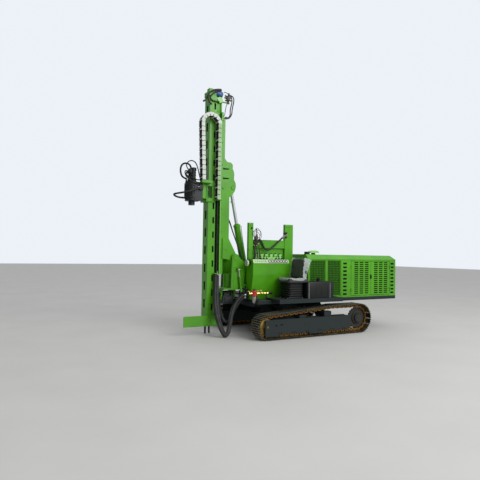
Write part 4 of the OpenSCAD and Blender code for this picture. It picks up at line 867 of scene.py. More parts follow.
class RIG_OT_hood(bpy.types.Operator):
    """Woven mesh, dark sheets of painted shade, latches, exhaust, rain cap and trim of the engine hood"""
    bl_idname, bl_label = "rig.hood", "Hood"

    def execute(self, context):
        sizes = context.scene.rig_sizes
        r, pitch = sizes.wire, sizes.weave
        low, tall, uprights, levels = 0.843, 0.844, [], {}
        for s in (1, -1):
            y = s * 0.8515
            for x0, x1 in WINDOWS:
                n = int((x1 - x0) / pitch)
                uprights += [((x0 + i * (x1 - x0) / n, y - s * 0.002, low), Z, X) for i in range(1, n)]
                n, wide = int(tall / pitch), round(x1 - x0, 3)
                levels.setdefault(wide, []).extend(((x0, y + s * 0.0015, low + i * tall / n), X, Z)
                    for i in range(1, n))

        def wires(name, length, places, nodes=()):
            unit = Shape().disc(r, length, (0, 0, 0), Z, 6).mesh("wire", 50)
            # The wires take the darkened green, a painted shade
            repeated("hood_mesh_" + name, unit, places, "grille", replaces=nodes)
        wires("upright", tall, uprights, ["hood_mesh"])
        for wide, places in levels.items():
            wires(f"level_{round(wide * 1000)}", wide, places)
        # Dark sheets of painted shade inside, behind the mesh, the slots of the columns and the slots of the doors;
        # those behind the mesh are a painted green shade
        shade_sheets, green_shade_sheets, slots = Shape(), Shape(), []
        for s in (1, -1):
            for x0, x1 in ((-0.588, -0.132), (-1.058, -0.652), (-1.236, -1.144), (-2.826, -2.729)):
                (green_shade_sheets if x1 > -1.1 else shade_sheets).slab((x0, x1), (s * 0.833, s * 0.836), (0.844, 1.686))
            for x in (-1.19, -2.777):
                slots += [((x, s * 0.8601, 0.8785 + i * 0.092), Y * s, X) for i in range(9)]
        # A dark sheet under the deck on the far side, a painted shade below the chassis
        shade_sheets.box((0.3, -0.6, 0.42), (1.36, -0.58, 0.8), 0.003)
        shade_sheets.put("hood_lining", "dark_recess")
        green_shade_sheets.put("mesh_lining", "painted_green_shade")
        # The column slots are thin dark plates, a painted shade
        slot = Shape().prism([(-0.056, -0.015), (-0.048, -0.023), (0.048, -0.023), (0.056, -0.015), (0.056, 0.015),
            (0.048, 0.023), (-0.048, 0.023), (-0.056, 0.015)], (0, 0, 0), X, Y, (0, 0, 0.0015))
        repeated("column_slots", slot.mesh("slot", 30), slots, "dark_recess")
        lip = Shape().rod((-0.058, 0, 0.001), (0.058, 0, 0.001), 0.0035, 6)
        repeated("column_slot_lips", lip.mesh("lip", 30), [((x, y, z + 0.0245), n, w) for (x, y, z), n, w in slots],
            "green_paint")
        # Dark sheets inside the doors, a painted shade
        for body, x0, s in DOORS:
            Shape().slab((x0 + 0.014, x0 + 0.631), (s * 0.838, s * 0.841), (0.854, 1.656)).put(body + "_lining",
                "dark_recess", body)
        rim = Shape()
        for s in (1, -1):
            for x0, x1 in WINDOWS:
                for x, z in (((x0, x0 + 0.018), (0.84, 1.69)), ((x1 - 0.018, x1), (0.84, 1.69)),
                        ((x0, x1), (0.84, 0.858)), ((x0, x1), (1.672, 1.69))):
                    rim.slab(x, (s * 0.8465, s * 0.8535), z, 0.002)
        # The rims take the darkened green too, a painted shade
        rim.put("mesh_rims", "grille")

        trim, stub = Shape(), Shape()
        for s in (1, -1):
            # Drip rail along the side edge and a folded seam down the hood
            trim.slab((-2.895, -0.085), (s * HOOD_Y, s * (HOOD_Y + 0.006)), (1.7, 1.712), 0.002)
            for x in (-1.105, -0.62):
                trim.slab((x - 0.012, x + 0.012), (s * HOOD_Y, 0.864 if s > 0 else -0.866), (0.806, 1.7), 0.001)
        trim.put("hood_trim", "green_paint")
        for body, x, s in DOORS:
            x = -2.024 if "front" in body else -2.044
            latch = Shape().slab((x - 0.014, x + 0.014), (s * HOOD_Y, s * (HOOD_Y + 0.006)), (1.235, 1.345), 0.003)
            latch.slab((x - 0.009, x + 0.009), (s * (HOOD_Y + 0.006), s * (HOOD_Y + 0.022)), (1.25, 1.315), 0.005)
            latch.rod((x, s * HOOD_Y, 1.33), (x, s * (HOOD_Y + 0.014), 1.33), 0.008, 14)
            latch.put(body + "_latch", "black_plastic", body)
        # Exhaust: a round stub and beside it the bend with its long rain cap
        stub.lathe([(0, 0), (0.08, 0), (0.08, 0.004), (0.066, 0.006), (0.066, 0.06), (0.058, 0.066), (0.052, 0.066),
            (0.052, 0.02), (0, 0.02)], (-0.43, 0.35, 1.8203), Z, 32)
        stub.lathe([(0, 0), (0.07, 0), (0.07, 0.004), (0.05, 0.006), (0.05, 0.04), (0, 0.04)], (-0.62, 0.35, 1.8203), Z,
            28)
        stub.put("exhaust_stub", "black_iron", replaces=["exhaust"])
        top = [(-0.125, 0), (0.125, 0), (0.125, 0.012), (0.095, 0.04), (0.02, 0.062), (-0.06, 0.058), (-0.11, 0.03),
            (-0.125, 0.012)]
        Shape().upright(top, 0.27, 0.16, -0.62, 1.856).put("rain_cap", "pale_green")
        edge = [((-2.86 + i * 0.196, s * HOOD_Y, 0.822), Y * s) for s in (1, -1) for i in range(15)]
        edge += [((-2.9, -0.8 + i * 0.2, 0.822), -X) for i in range(9)]
        bolts("hood_foot_bolts", edge, "green_paint", 0.008, 0.006)
        vents = [((-2.9, -0.6 + i * 0.06, 1.05), -X, Z) for i in range(21)]
        slat = Shape().upright([(0, 0), (0.3, 0), (0.3, 0.002), (0.296, 0.01), (0.004, 0.01), (0, 0.002)], -0.012,
            0.024).mesh("slat", 30)
        repeated("rear_louvres", slat, vents, "green_paint")
        return {"FINISHED"}


class RIG_OT_console(bpy.types.Operator):
    """Instrument strip with dials and switches, lever boots, seams and the work lamp"""
    bl_idname, bl_label = "rig.console", "Console and lamp"

    def execute(self, context):
        # The strip lies on the sloped edge between the console's side and its top
        n = Vector((0, 0.09, 0.04)).normalized()
        u, v = X, Vector((0, -0.04, 0.09)).normalized()
        mid = Vector((0.76, 0.61, 1.645)) + n * 0.0008
        Shape().prism(tile(-0.47, -0.043, 0.475, 0.043), mid, u, v, n * 0.004).put("instrument_strip",
            "instrument_white")
        rims, faces, keys, needles = Shape(), Shape(), Shape(), Shape()
        for i in range(7):
            c = mid + u * (-0.4 + i * 0.075) + n * 0.004
            rims.lathe([(0.023, 0), (0.035, 0), (0.035, 0.008), (0.031, 0.012), (0.023, 0.009), (0.023, 0)], c, n, 24)
            faces.lathe([(0, 0.005), (0.0245, 0.005), (0.0245, 0.002), (0, 0.002)], c, n, 24)
            way = u * cos(0.6 + i * 0.9) + v * sin(0.6 + i * 0.9)
            needles.rod(c + n * 0.0062, c + n * 0.0062 + way * 0.018, 0.0012, 6)
            for d in circle(Vector(), u, v, 9, radians(-30))[:7]:
                needles.rod(c + n * 0.0055 + d * 0.017, c + n * 0.0055 + d * 0.022, 0.0008, 5)
        for i in range(6):
            c = mid + u * (0.15 + i * 0.055) + n * 0.004
            keys.prism(tile(-0.015, -0.022, 0.015, 0.022), c, u, v, n * 0.005)
            keys.prism(tile(-0.009, -0.015, 0.009, 0.015), c + n * 0.004, u, v, n * 0.006 + v * 0.002)
        rims.put("dial_rims", "black_plastic")
        faces.put("dial_faces", "dial")
        needles.put("dial_marks", "black_plastic")
        keys.put("rocker_switches", "pale_green")
        boots = Shape()
        for x in (0.425, 0.505, 0.585, 0.835, 0.915, 0.995):
            rings = [(0, 0), (0.032, 0)]
            for k in range(4):
                rings += [(0.028 - k * 0.005, 0.004 + k * 0.007), (0.03 - k * 0.005, 0.008 + k * 0.007)]
            boots.lathe(rings + [(0.008, 0.036), (0, 0.036)], (x, 0.53, 1.6905), Z, 18)
        boots.put("lever_boots", "seat_rubber")
        # Seams and screws of the console's side and front
        seams = Shape()
        seams.box((0.3, 0.6302, 1.372), (1.22, 0.6325, 1.376), 0.0005)
        for x in (0.345, 1.18):
            seams.box((x, 0.6302, 1.395), (x + 0.003, 0.632, 1.585), 0.0005)
        seams.put("console_seams", "green_paint")
        screws = [((x, 0.63, z), Y) for x in (0.31, 0.62, 0.93, 1.21) for z in (1.39, 1.58)]
        screws += [((1.245, y, z), X) for y in (0.36, 0.6) for z in (1.4, 1.56)]
        screws += [((1.245, 0.36, 0.86), X), ((1.245, 0.48, 0.86), X)]
        bolts("console_screws", screws, "green_paint", 0.006, 0.004)

        lamp, lens, painted_glow = Shape(), Shape(), Shape()
        c = Vector((1.2453, 0.48, 1.605))
        lamp.box((1.2453, 0.44, 1.565), (1.262, 0.52, 1.645), 0.003)
        lamp.lathe([(0, 0.006), (0.03, 0.01), (0.05, 0.016), (0.056, 0.03), (0.062, 0.064), (0.063, 0.07),
            (0.056, 0.07), (0.03, 0.052), (0, 0.046)], c, X, 32)
        lamp.put("lamp_housing", "black_plastic", replaces=["work_lamp"])
        # The rim and the reflector behind the lens are pale enamel, a painted glow
        painted_glow.lathe([(0.0632, 0.058), (0.068, 0.06), (0.069, 0.094), (0.062, 0.096), (0.056, 0.086), (0.04, 0.062),
            (0.02, 0.052), (0, 0.049), (0, 0.047), (0.022, 0.05), (0.058, 0.078), (0.0632, 0.058)], c, X, 32)
        painted_glow.put("lamp_rim", "instrument_white")
        lens.lathe([(0, 0.092), (0.058, 0.089), (0.058, 0.085), (0, 0.086)], c, X, 32)
        for k in range(9):
            y = -0.044 + k * 0.011
            h = sqrt(0.052 ** 2 - y * y)
            lens.rod(c + Vector((0.091, y, -h)), c + Vector((0.091, y, h)), 0.0022, 6)
        lens.put("lamp_lens", "lamp_plastic")
        return {"FINISHED"}


# Seat

def cushion(lo, hi, pinch=0.18):
    """A stuffed block whose faces crown and whose corners are drawn in."""
    bm = bmesh.new()
    bmesh.ops.create_cube(bm, size=2)
    bmesh.ops.subdivide_edges(bm, edges=bm.edges, cuts=11, use_grid_fill=True)
    c, h = (Vector(lo) + Vector(hi)) / 2, (Vector(hi) - Vector(lo)) / 2
    for v in bm.verts:
        p = v.co.copy()
        q = Vector()
        for i in range(3):
            j, k = (i + 1) % 3, (i + 2) % 3
            s, t = p[j] ** 4, p[k] ** 4
            q[i] = p[i] * sqrt(max(0, 1 - pinch * (s + t) / 2 + pinch * 0.33 * s * t))
        v.co = Vector(c[i] + q[i] * h[i] for i in range(3))
    return bm, c, h


class RIG_OT_seat(bpy.types.Operator):
    """Vinyl cushion and backrest under packing film, on a pleated bellows"""
    bl_idname, bl_label = "rig.seat", "Seat"

    def execute(self, context):
        bm, c, h = cushion((0.108, 0.652, 1.192), (0.632, 1.128, 1.288))
        for v in bm.verts:
            x, y = (v.co.x - c.x) / h.x, (v.co.y - c.y) / h.y
            if v.co.z > c.z:
                v.co.z -= 0.012 * exp(-(x * x + y * y) * 1.6)
                for g in (-0.42, 0.42):
                    v.co.z -= 0.009 * exp(-((y - g) / 0.045) ** 2) * (1 - min(1, abs(x)) ** 6)
        self.pad("seat_cushion", bm, ["seat"])

        bm, c, h = cushion((-0.06, 0.654, 0.0), (0.06, 1.126, 0.43), 0.26)
        lean = Matrix.Rotation(atan2(-0.055, 0.43), 4, "Y")
        for v in bm.verts:
            y, z = (v.co.y - c.y) / h.y, (v.co.z - c.z) / h.z
            if v.co.x > 0:
                v.co.x += 0.016 * abs(y) ** 3 - 0.01 * exp(-((z + 0.2) / 0.5) ** 2)
                for g in (-0.4, 0.4):
                    v.co.x -= 0.009 * exp(-((y - g) / 0.05) ** 2)
                v.co.x -= 0.007 * exp(-((z - 0.35) / 0.05) ** 2) * (1 if abs(y) < 0.4 else 0)
            v.co.y = c.y + (v.co.y - c.y) * (1 - 0.1 * max(0, z) ** 2)
            v.co = lean @ v.co + Vector((0.222, 0, 1.284))
        self.pad("seat_back", bm)

        # Film over the back: a loose bag that is drawn round its edges and stands off behind
        rows, cols = 26, 44
        grid = []
        for i in range(rows + 1):
            t = i / rows
            line = []
            for j in range(cols + 1):
                a = pi * (j / cols)
                w = 0.25 - 0.016 * t
                y = 0.89 + w * cos(a) * (1.0 + 0.03 * sin(9 * t + 2))
                loose = sin(a) ** 0.5 * (0.03 + 0.125 * t ** 1.5)
                x = -0.074 * sin(a) ** 0.35 + 0.062 * abs(cos(a)) ** 8 - loose
                crinkle = 0.007 * sin(17 * a + 9 * t) + 0.006 * sin(31 * t + 5 * a)
                line.append(lean @ Vector((x - crinkle - 0.004, y, t * 0.437)) + Vector((0.222, 0, 1.286)))
            grid.append(line)
        # Its closed top, puckered where it lies on the back's upper edge
        for t in (0.25, 0.6, 0.95):
            grid.append([p.lerp(Vector((0.19, p.y * 0.96 + 0.0356, 1.744 + 0.006 * sin(40 * p.y))), t)
                for p in grid[rows]])
        self.sheet("back_film", grid, 0.45, "seat_back")
        rim, n = [], 72
        for grow, z in ((1.006, 1.238), (1.022, 1.262), (1.014, 1.284), (0.95, 1.2935), (0.86, 1.291)):
            ring = []
            for k in range(n + 1):
                a = 2 * pi * k / n
                x, y = squircle(a, 5)
                wob = grow * (1 + 0.012 * sin(11 * a + z * 90) + 0.008 * sin(23 * a))
                ring.append(Vector((0.37 + 0.262 * wob * x, 0.89 + 0.238 * wob * y, z + 0.005 * sin(7 * a + z * 60))))
            rim.append(ring)
        self.sheet("cushion_film", rim, 1.5, "seat_cushion")

        bell = Shape()
        rings, folds, n = [], 6, 64
        z0, z1 = 0.882, 1.188
        for i in range(folds * 8 + 1):
            t = i / (folds * 8)
            out = 0.02 * (0.5 - 0.5 * cos(2 * pi * t * folds)) ** 0.8
            rings.append([bell.bm.verts.new((0.398 + (0.188 + out) * x, 0.89 + (0.178 + out) * y, z0 + t * (z1 - z0)))
                for x, y in (squircle(2 * pi * k / n, 6) for k in range(n))])
        bell.skin(rings).put("seat_bellows", "seat_rubber", replaces=["seat_base"], angle=70)
        base = Shape()
        base.box((0.218, 0.72, 0.8403), (0.578, 1.06, 0.884), 0.006)
        base.box((0.195, 0.7, 1.186), (0.605, 1.08, 1.194), 0.002)
        base.rod((0.578, 0.76, 0.868), (0.626, 0.76, 0.868), 0.008, 12)
        base.disc(0.018, 0.022, (0.626, 0.76, 0.868), X, 16)
        base.put("seat_foot", "black_iron")
        bolts("seat_foot_bolts", [((x, y, 0.8405), Z) for x in (0.2, 0.596) for y in (0.74, 1.04)])
        return {"FINISHED"}

    def sheet(self, name, grid, length, rests):
        """Makes a film from rows of points and works out its area."""
        bm = bmesh.new()
        Shape(bm).skin([[bm.verts.new(p) for p in line] for line in grid], False, False)
        bmesh.ops.remove_doubles(bm, verts=bm.verts, dist=1e-6)
        area = sum(f.calc_area() for f in bm.faces)
        m = bpy.data.meshes.new(name)
        bm.to_mesh(m)
        bm.free()
        m.shade_smooth()
        place(name, m, "packing_film")

    def pad(self, name, bm, replaces=()):
        """Smooths a stuffed block."""
        o = Shape(bm).put(name, "seat_vinyl", replaces=replaces, angle=180)
        m = o.modifiers.new("Smooth", "SUBSURF")
        m.levels = m.render_levels = 2
        o.data = evaluated(o)
        o.data.shade_smooth()


class RIG_OT_tanks(bpy.types.Operator):
    """Straps, caps, gauges and covers of the fuel tank and the oil tank"""
    bl_idname, bl_label = "rig.tanks", "Tanks"

    def execute(self, context):
        # The fuel tank: a moulded body with soft edges, its neck and its filling flange
        tank = Shape().box((-0.57, 0.88, 0.8403), (0.165, 1.18, 1.21), 0.022)
        tank.rod((-0.245, 1.03, 1.206), (-0.245, 1.03, 1.2495), 0.04, 24)
        tank.put("fuel_tank_body", "black_plastic", replaces=["fuel_tank"])
        straps = Shape()
        for x in (-0.465, 0.128):
            top = [(0.8785, 0.842), (0.8785, 1.176), (0.889, 1.201), (0.914, 1.2125), (1.146, 1.2125), (1.171, 1.201),
                (1.1825, 1.176), (1.1825, 0.842)]
            low = [(y + (0.003 if y < 1.03 else -0.003), z - (0.003 if z > 1.19 else 0)) for y, z in top]
            for k in range(len(top) - 1):
                quad = [top[k], top[k + 1], low[k + 1], low[k]]
                straps.prism(quad, (x - 0.011, 0, 0), Y, Z, (0.022, 0, 0))
            straps.rod((x, 1.1825, 1.0), (x, 1.194, 1.0), 0.007, 10)
        straps.put("tank_straps", "strap_grey")
        caps = Shape()
        for at in ((-0.245, 1.03, 1.2495), (0.0, -1.03, 1.3795)):
            caps.lathe([(0, 0), (0.046, 0), (0.048, 0.003), (0.048, 0.02), (0.044, 0.024), (0, 0.026)], at, Z, 24)
            caps.box((at[0] - 0.012, at[1] - 0.04, at[2] + 0.024), (at[0] + 0.012, at[1] + 0.04, at[2] + 0.036), 0.004)
        caps.put("tank_caps", "black_plastic")
        ribs = Shape()
        for x in (-0.4, -0.245, -0.09):
            ribs.box((x - 0.02, 1.1795, 0.88), (x + 0.02, 1.1835, 1.16), 0.0018)
        ribs.put("tank_ribs", "black_plastic")
        side = Shape()
        side.box((-0.2, -1.1835, 0.95), (0.2, -1.1795, 1.25), 0.002)
        side.box((0.33, -1.19, 0.98), (0.352, -1.1795, 1.2), 0.003)
        side.put("oil_tank_cover", "green_paint")
        bolts("oil_tank_bolts", [((x, -1.1835, z), -Y) for x in (-0.18, -0.06, 0.06, 0.18) for z in (0.97, 1.23)]
            + [((x, -1.1835, z), -Y) for x in (-0.18, 0.18) for z in (1.05, 1.15)], r=0.007, h=0.006)
        Shape().box((0.336, -1.1925, 1.0), (0.346, -1.189, 1.18), 0.001).put("oil_gauge", "clear_bowl")
        return {"FINISHED"}


class RIG_OT_lubricator(bpy.types.Operator):
    """Air lubricator with a red head, a clear bowl and brass pipes"""
    bl_idname, bl_label = "rig.lubricator", "Air lubricator"

    def execute(self, context):
        c = Vector((1.262, 0.715, 0.9))
        red = Shape()
        red.lathe([(0, -0.016), (0.052, -0.016), (0.062, -0.006), (0.062, 0.026), (0.054, 0.034), (0.054, 0.062),
            (0.064, 0.07), (0.064, 0.092), (0.05, 0.108), (0, 0.112)], c, Z, 28)
        for p in circle(c, X * 0.061, Y * 0.061, 14):
            red.rod(p - Z * 0.004, p + Z * 0.024, 0.005, 6)
        red.put("lubricator_head", "red_plastic", replaces=["air_lubricator"])
        knob = Shape().lathe([(0, 0.108), (0.024, 0.108), (0.027, 0.128), (0.018, 0.138), (0, 0.138)], c, Z, 14)
        knob.rod(c - Z * 0.19, c - Z * 0.172, 0.012, 10)
        knob.rod((0.905, 0.715, 0.948), (0.8, 0.715, 0.948), 0.03, 16)
        knob.put("lubricator_knobs", "black_plastic")
        Shape().lathe([(0, -0.014), (0.044, -0.016), (0.048, -0.03), (0.047, -0.125), (0.036, -0.158), (0.014, -0.174),
            (0, -0.174)], c, Z, 28).put("lubricator_bowl", "clear_bowl")
        # Brass pipe with its unions and cocks, from the inlet in front to the rubber hose behind
        brass = Shape()
        brass.rod((0.9, 0.715, 0.948), (1.206, 0.715, 0.948), 0.015, 16)
        brass.rod((1.318, 0.715, 0.948), (1.4, 0.715, 0.948), 0.015, 16)
        for x, r in ((0.912, 0.026), (0.985, 0.024), (1.06, 0.03), (1.14, 0.024), (1.178, 0.028), (1.318, 0.026),
                (1.366, 0.028)):
            brass.hexagon((x, 0.715, 0.948), X, r, 0.03)
        for x, h in ((1.075, 0.06), (1.154, 0.045), (1.381, 0.04)):
            brass.rod((x, 0.715, 0.955), (x, 0.715, 0.955 + h), 0.01, 12)
            brass.box((x - 0.006, 0.69, 0.95 + h), (x + 0.05, 0.74, 0.96 + h), 0.002)
        brass.put("lubricator_fittings", "brass")
        base = Shape()
        base.box((1.186, 0.706, 0.8403), (1.206, 0.724, 0.94), 0.003)
        base.box((0.94, 0.7, 0.8003), (0.96, 0.73, 0.94), 0.003)
        base.box((1.16, 0.64, 0.8003), (1.245, 0.77, 0.8403), 0.002)
        base.put("lubricator_post", "black_iron")
        return {"FINISHED"}


class RIG_OT_hose_frame(bpy.types.Operator):
    """Valves with their coils and hoses, caps and bolts on the hose frame"""
    bl_idname, bl_label = "rig.hose_frame", "Hose frame and valves"

    def execute(self, context):
        coils, hexes = Shape(), []
        for i in range(6):
            x = 0.379 + i * 0.125
            coils.box((x - 0.034, 0.356, 1.8095), (x + 0.034, 0.396, 1.8145), 0.002)
            coils.rod((x, 0.376, 1.812), (x, 0.376, 1.832), 0.013, 12)
            hexes += [((x - 0.026, 0.4, 1.765), Y), ((x + 0.026, 0.4, 1.765), Y), ((x, 0.405, 1.715), Y)]
        coils.put("valve_caps", "black_iron")
        bolts("valve_bolts", hexes, "pale_green", 0.007, 0.005)
        frame_bits = Shape()
        for x0, x1 in ((0.034, 0.264), (1.125, 1.245)):
            frame_bits.box((x0, 0.335, 2.4401), (x1, 0.405, 2.505), 0.002)
            frame_bits.box((x0 - 0.002, 0.333, 2.505), (x1 + 0.002, 0.407, 2.511), 0.002)
        for z in (1.95, 2.13):
            frame_bits.tube([(0.264, 0.399, z), (1.114, 0.396, z)], 0.004, 6)
        frame_bits.box((0.02, 0.322, 0.8003), (0.262, 0.418, 0.812), 0.003)
        frame_bits.put("hose_frame_caps", "green_paint")
        dark = Shape()
        dark.box((0.212, 0.4052, 2.2), (0.256, 0.432, 2.33), 0.004)
        dark.box((0.2565, 0.38, 2.29), (0.3, 0.42, 2.318), 0.004)
        # Rubber-lined hole near the top of the front post
        dark.ring(0.018, 0.026, 0.004, (1.17, 0.405, 2.39), Y, 20)
        dark.put("hose_frame_grommets", "black_plastic")
        bolts("hose_frame_bolts", [((x, 0.405, z), Y) for x in (1.145, 1.225) for z in (1.72, 1.9)]
            + [((x, 0.412, 0.812), Z) for x in (0.05, 0.248)], "green_paint")
        # The control valve in front of the bar, with its lever, unions and pipes
        valve, brass = Shape(), Shape()
        valve.box((1.02, 0.3953, 2.01), (1.09, 0.44, 2.215), 0.005)
        valve.box((0.996, 0.405, 2.055), (1.122, 0.435, 2.085), 0.004)
        valve.box((1.032, 0.44, 2.09), (1.078, 0.457, 2.15), 0.003)
        valve.rod((1.1, 0.42, 2.03), (1.1, 0.42, 2.18), 0.012, 12)
        valve.lathe([(0, 0), (0.018, 0), (0.018, 0.03), (0.011, 0.04), (0, 0.04)], (1.04, 0.4253, 2.214), Z, 14)
        valve.rod((1.04, 0.4253, 2.25), (1.052, 0.4253, 2.35), 0.0065, 10)
        valve.lathe([(0, 0), (0.01, 0.0), (0.017, 0.01), (0.018, 0.02), (0.013, 0.031), (0, 0.034)],
            (1.052, 0.4253, 2.342), Z, 16)
        valve.put("post_valve_body", "black_iron", replaces=["post_valve"])
        for z in (2.038, 2.13, 2.18):
            brass.hexagon((1.02, 0.428, z), -X, 0.015, 0.018)
        for x in (1.05, 1.105):
            brass.hexagon((x, 0.42, 2.01), -Z, 0.015, 0.02)
        brass.put("post_valve_unions", "brass")
        loops = [
            [(1.002, 0.428, 2.18), (0.965, 0.432, 2.205), (0.955, 0.436, 2.275), (0.985, 0.44, 2.35),
                (1.04, 0.444, 2.392), (1.09, 0.446, 2.372), (1.112, 0.444, 2.3), (1.106, 0.434, 2.2)],
            [(1.002, 0.432, 2.13), (0.945, 0.438, 2.17), (0.93, 0.442, 2.25), (0.96, 0.446, 2.32), (1.015, 0.45, 2.35),
                (1.07, 0.452, 2.3), (1.086, 0.448, 2.216)],
            [(1.105, 0.424, 2.18), (1.14, 0.43, 2.25), (1.128, 0.44, 2.33), (1.06, 0.45, 2.31), (1.0, 0.456, 2.262),
                (0.975, 0.45, 2.2), (1.0, 0.436, 2.085)],
        ]
        piped("valve_loops", loops, 0.0055, sides=8)
        down = [
            [(1.105, 0.42, 1.992), (1.105, 0.426, 1.94), (1.104, 0.436, 1.85), (1.102, 0.44, 1.76), (1.1, 0.44, 1.694)],
            [(1.05, 0.42, 1.992), (1.046, 0.428, 1.93), (1.03, 0.438, 1.84), (1.018, 0.442, 1.694)],
            [(1.002, 0.428, 2.038), (0.984, 0.43, 2.01), (0.98, 0.436, 1.9), (0.976, 0.44, 1.694)],
        ]
        piped("valve_drops", down[:1], 0.02)
        piped("valve_drops_thin", down[1:], 0.01, sides=8)
        return {"FINISHED"}


# Mast

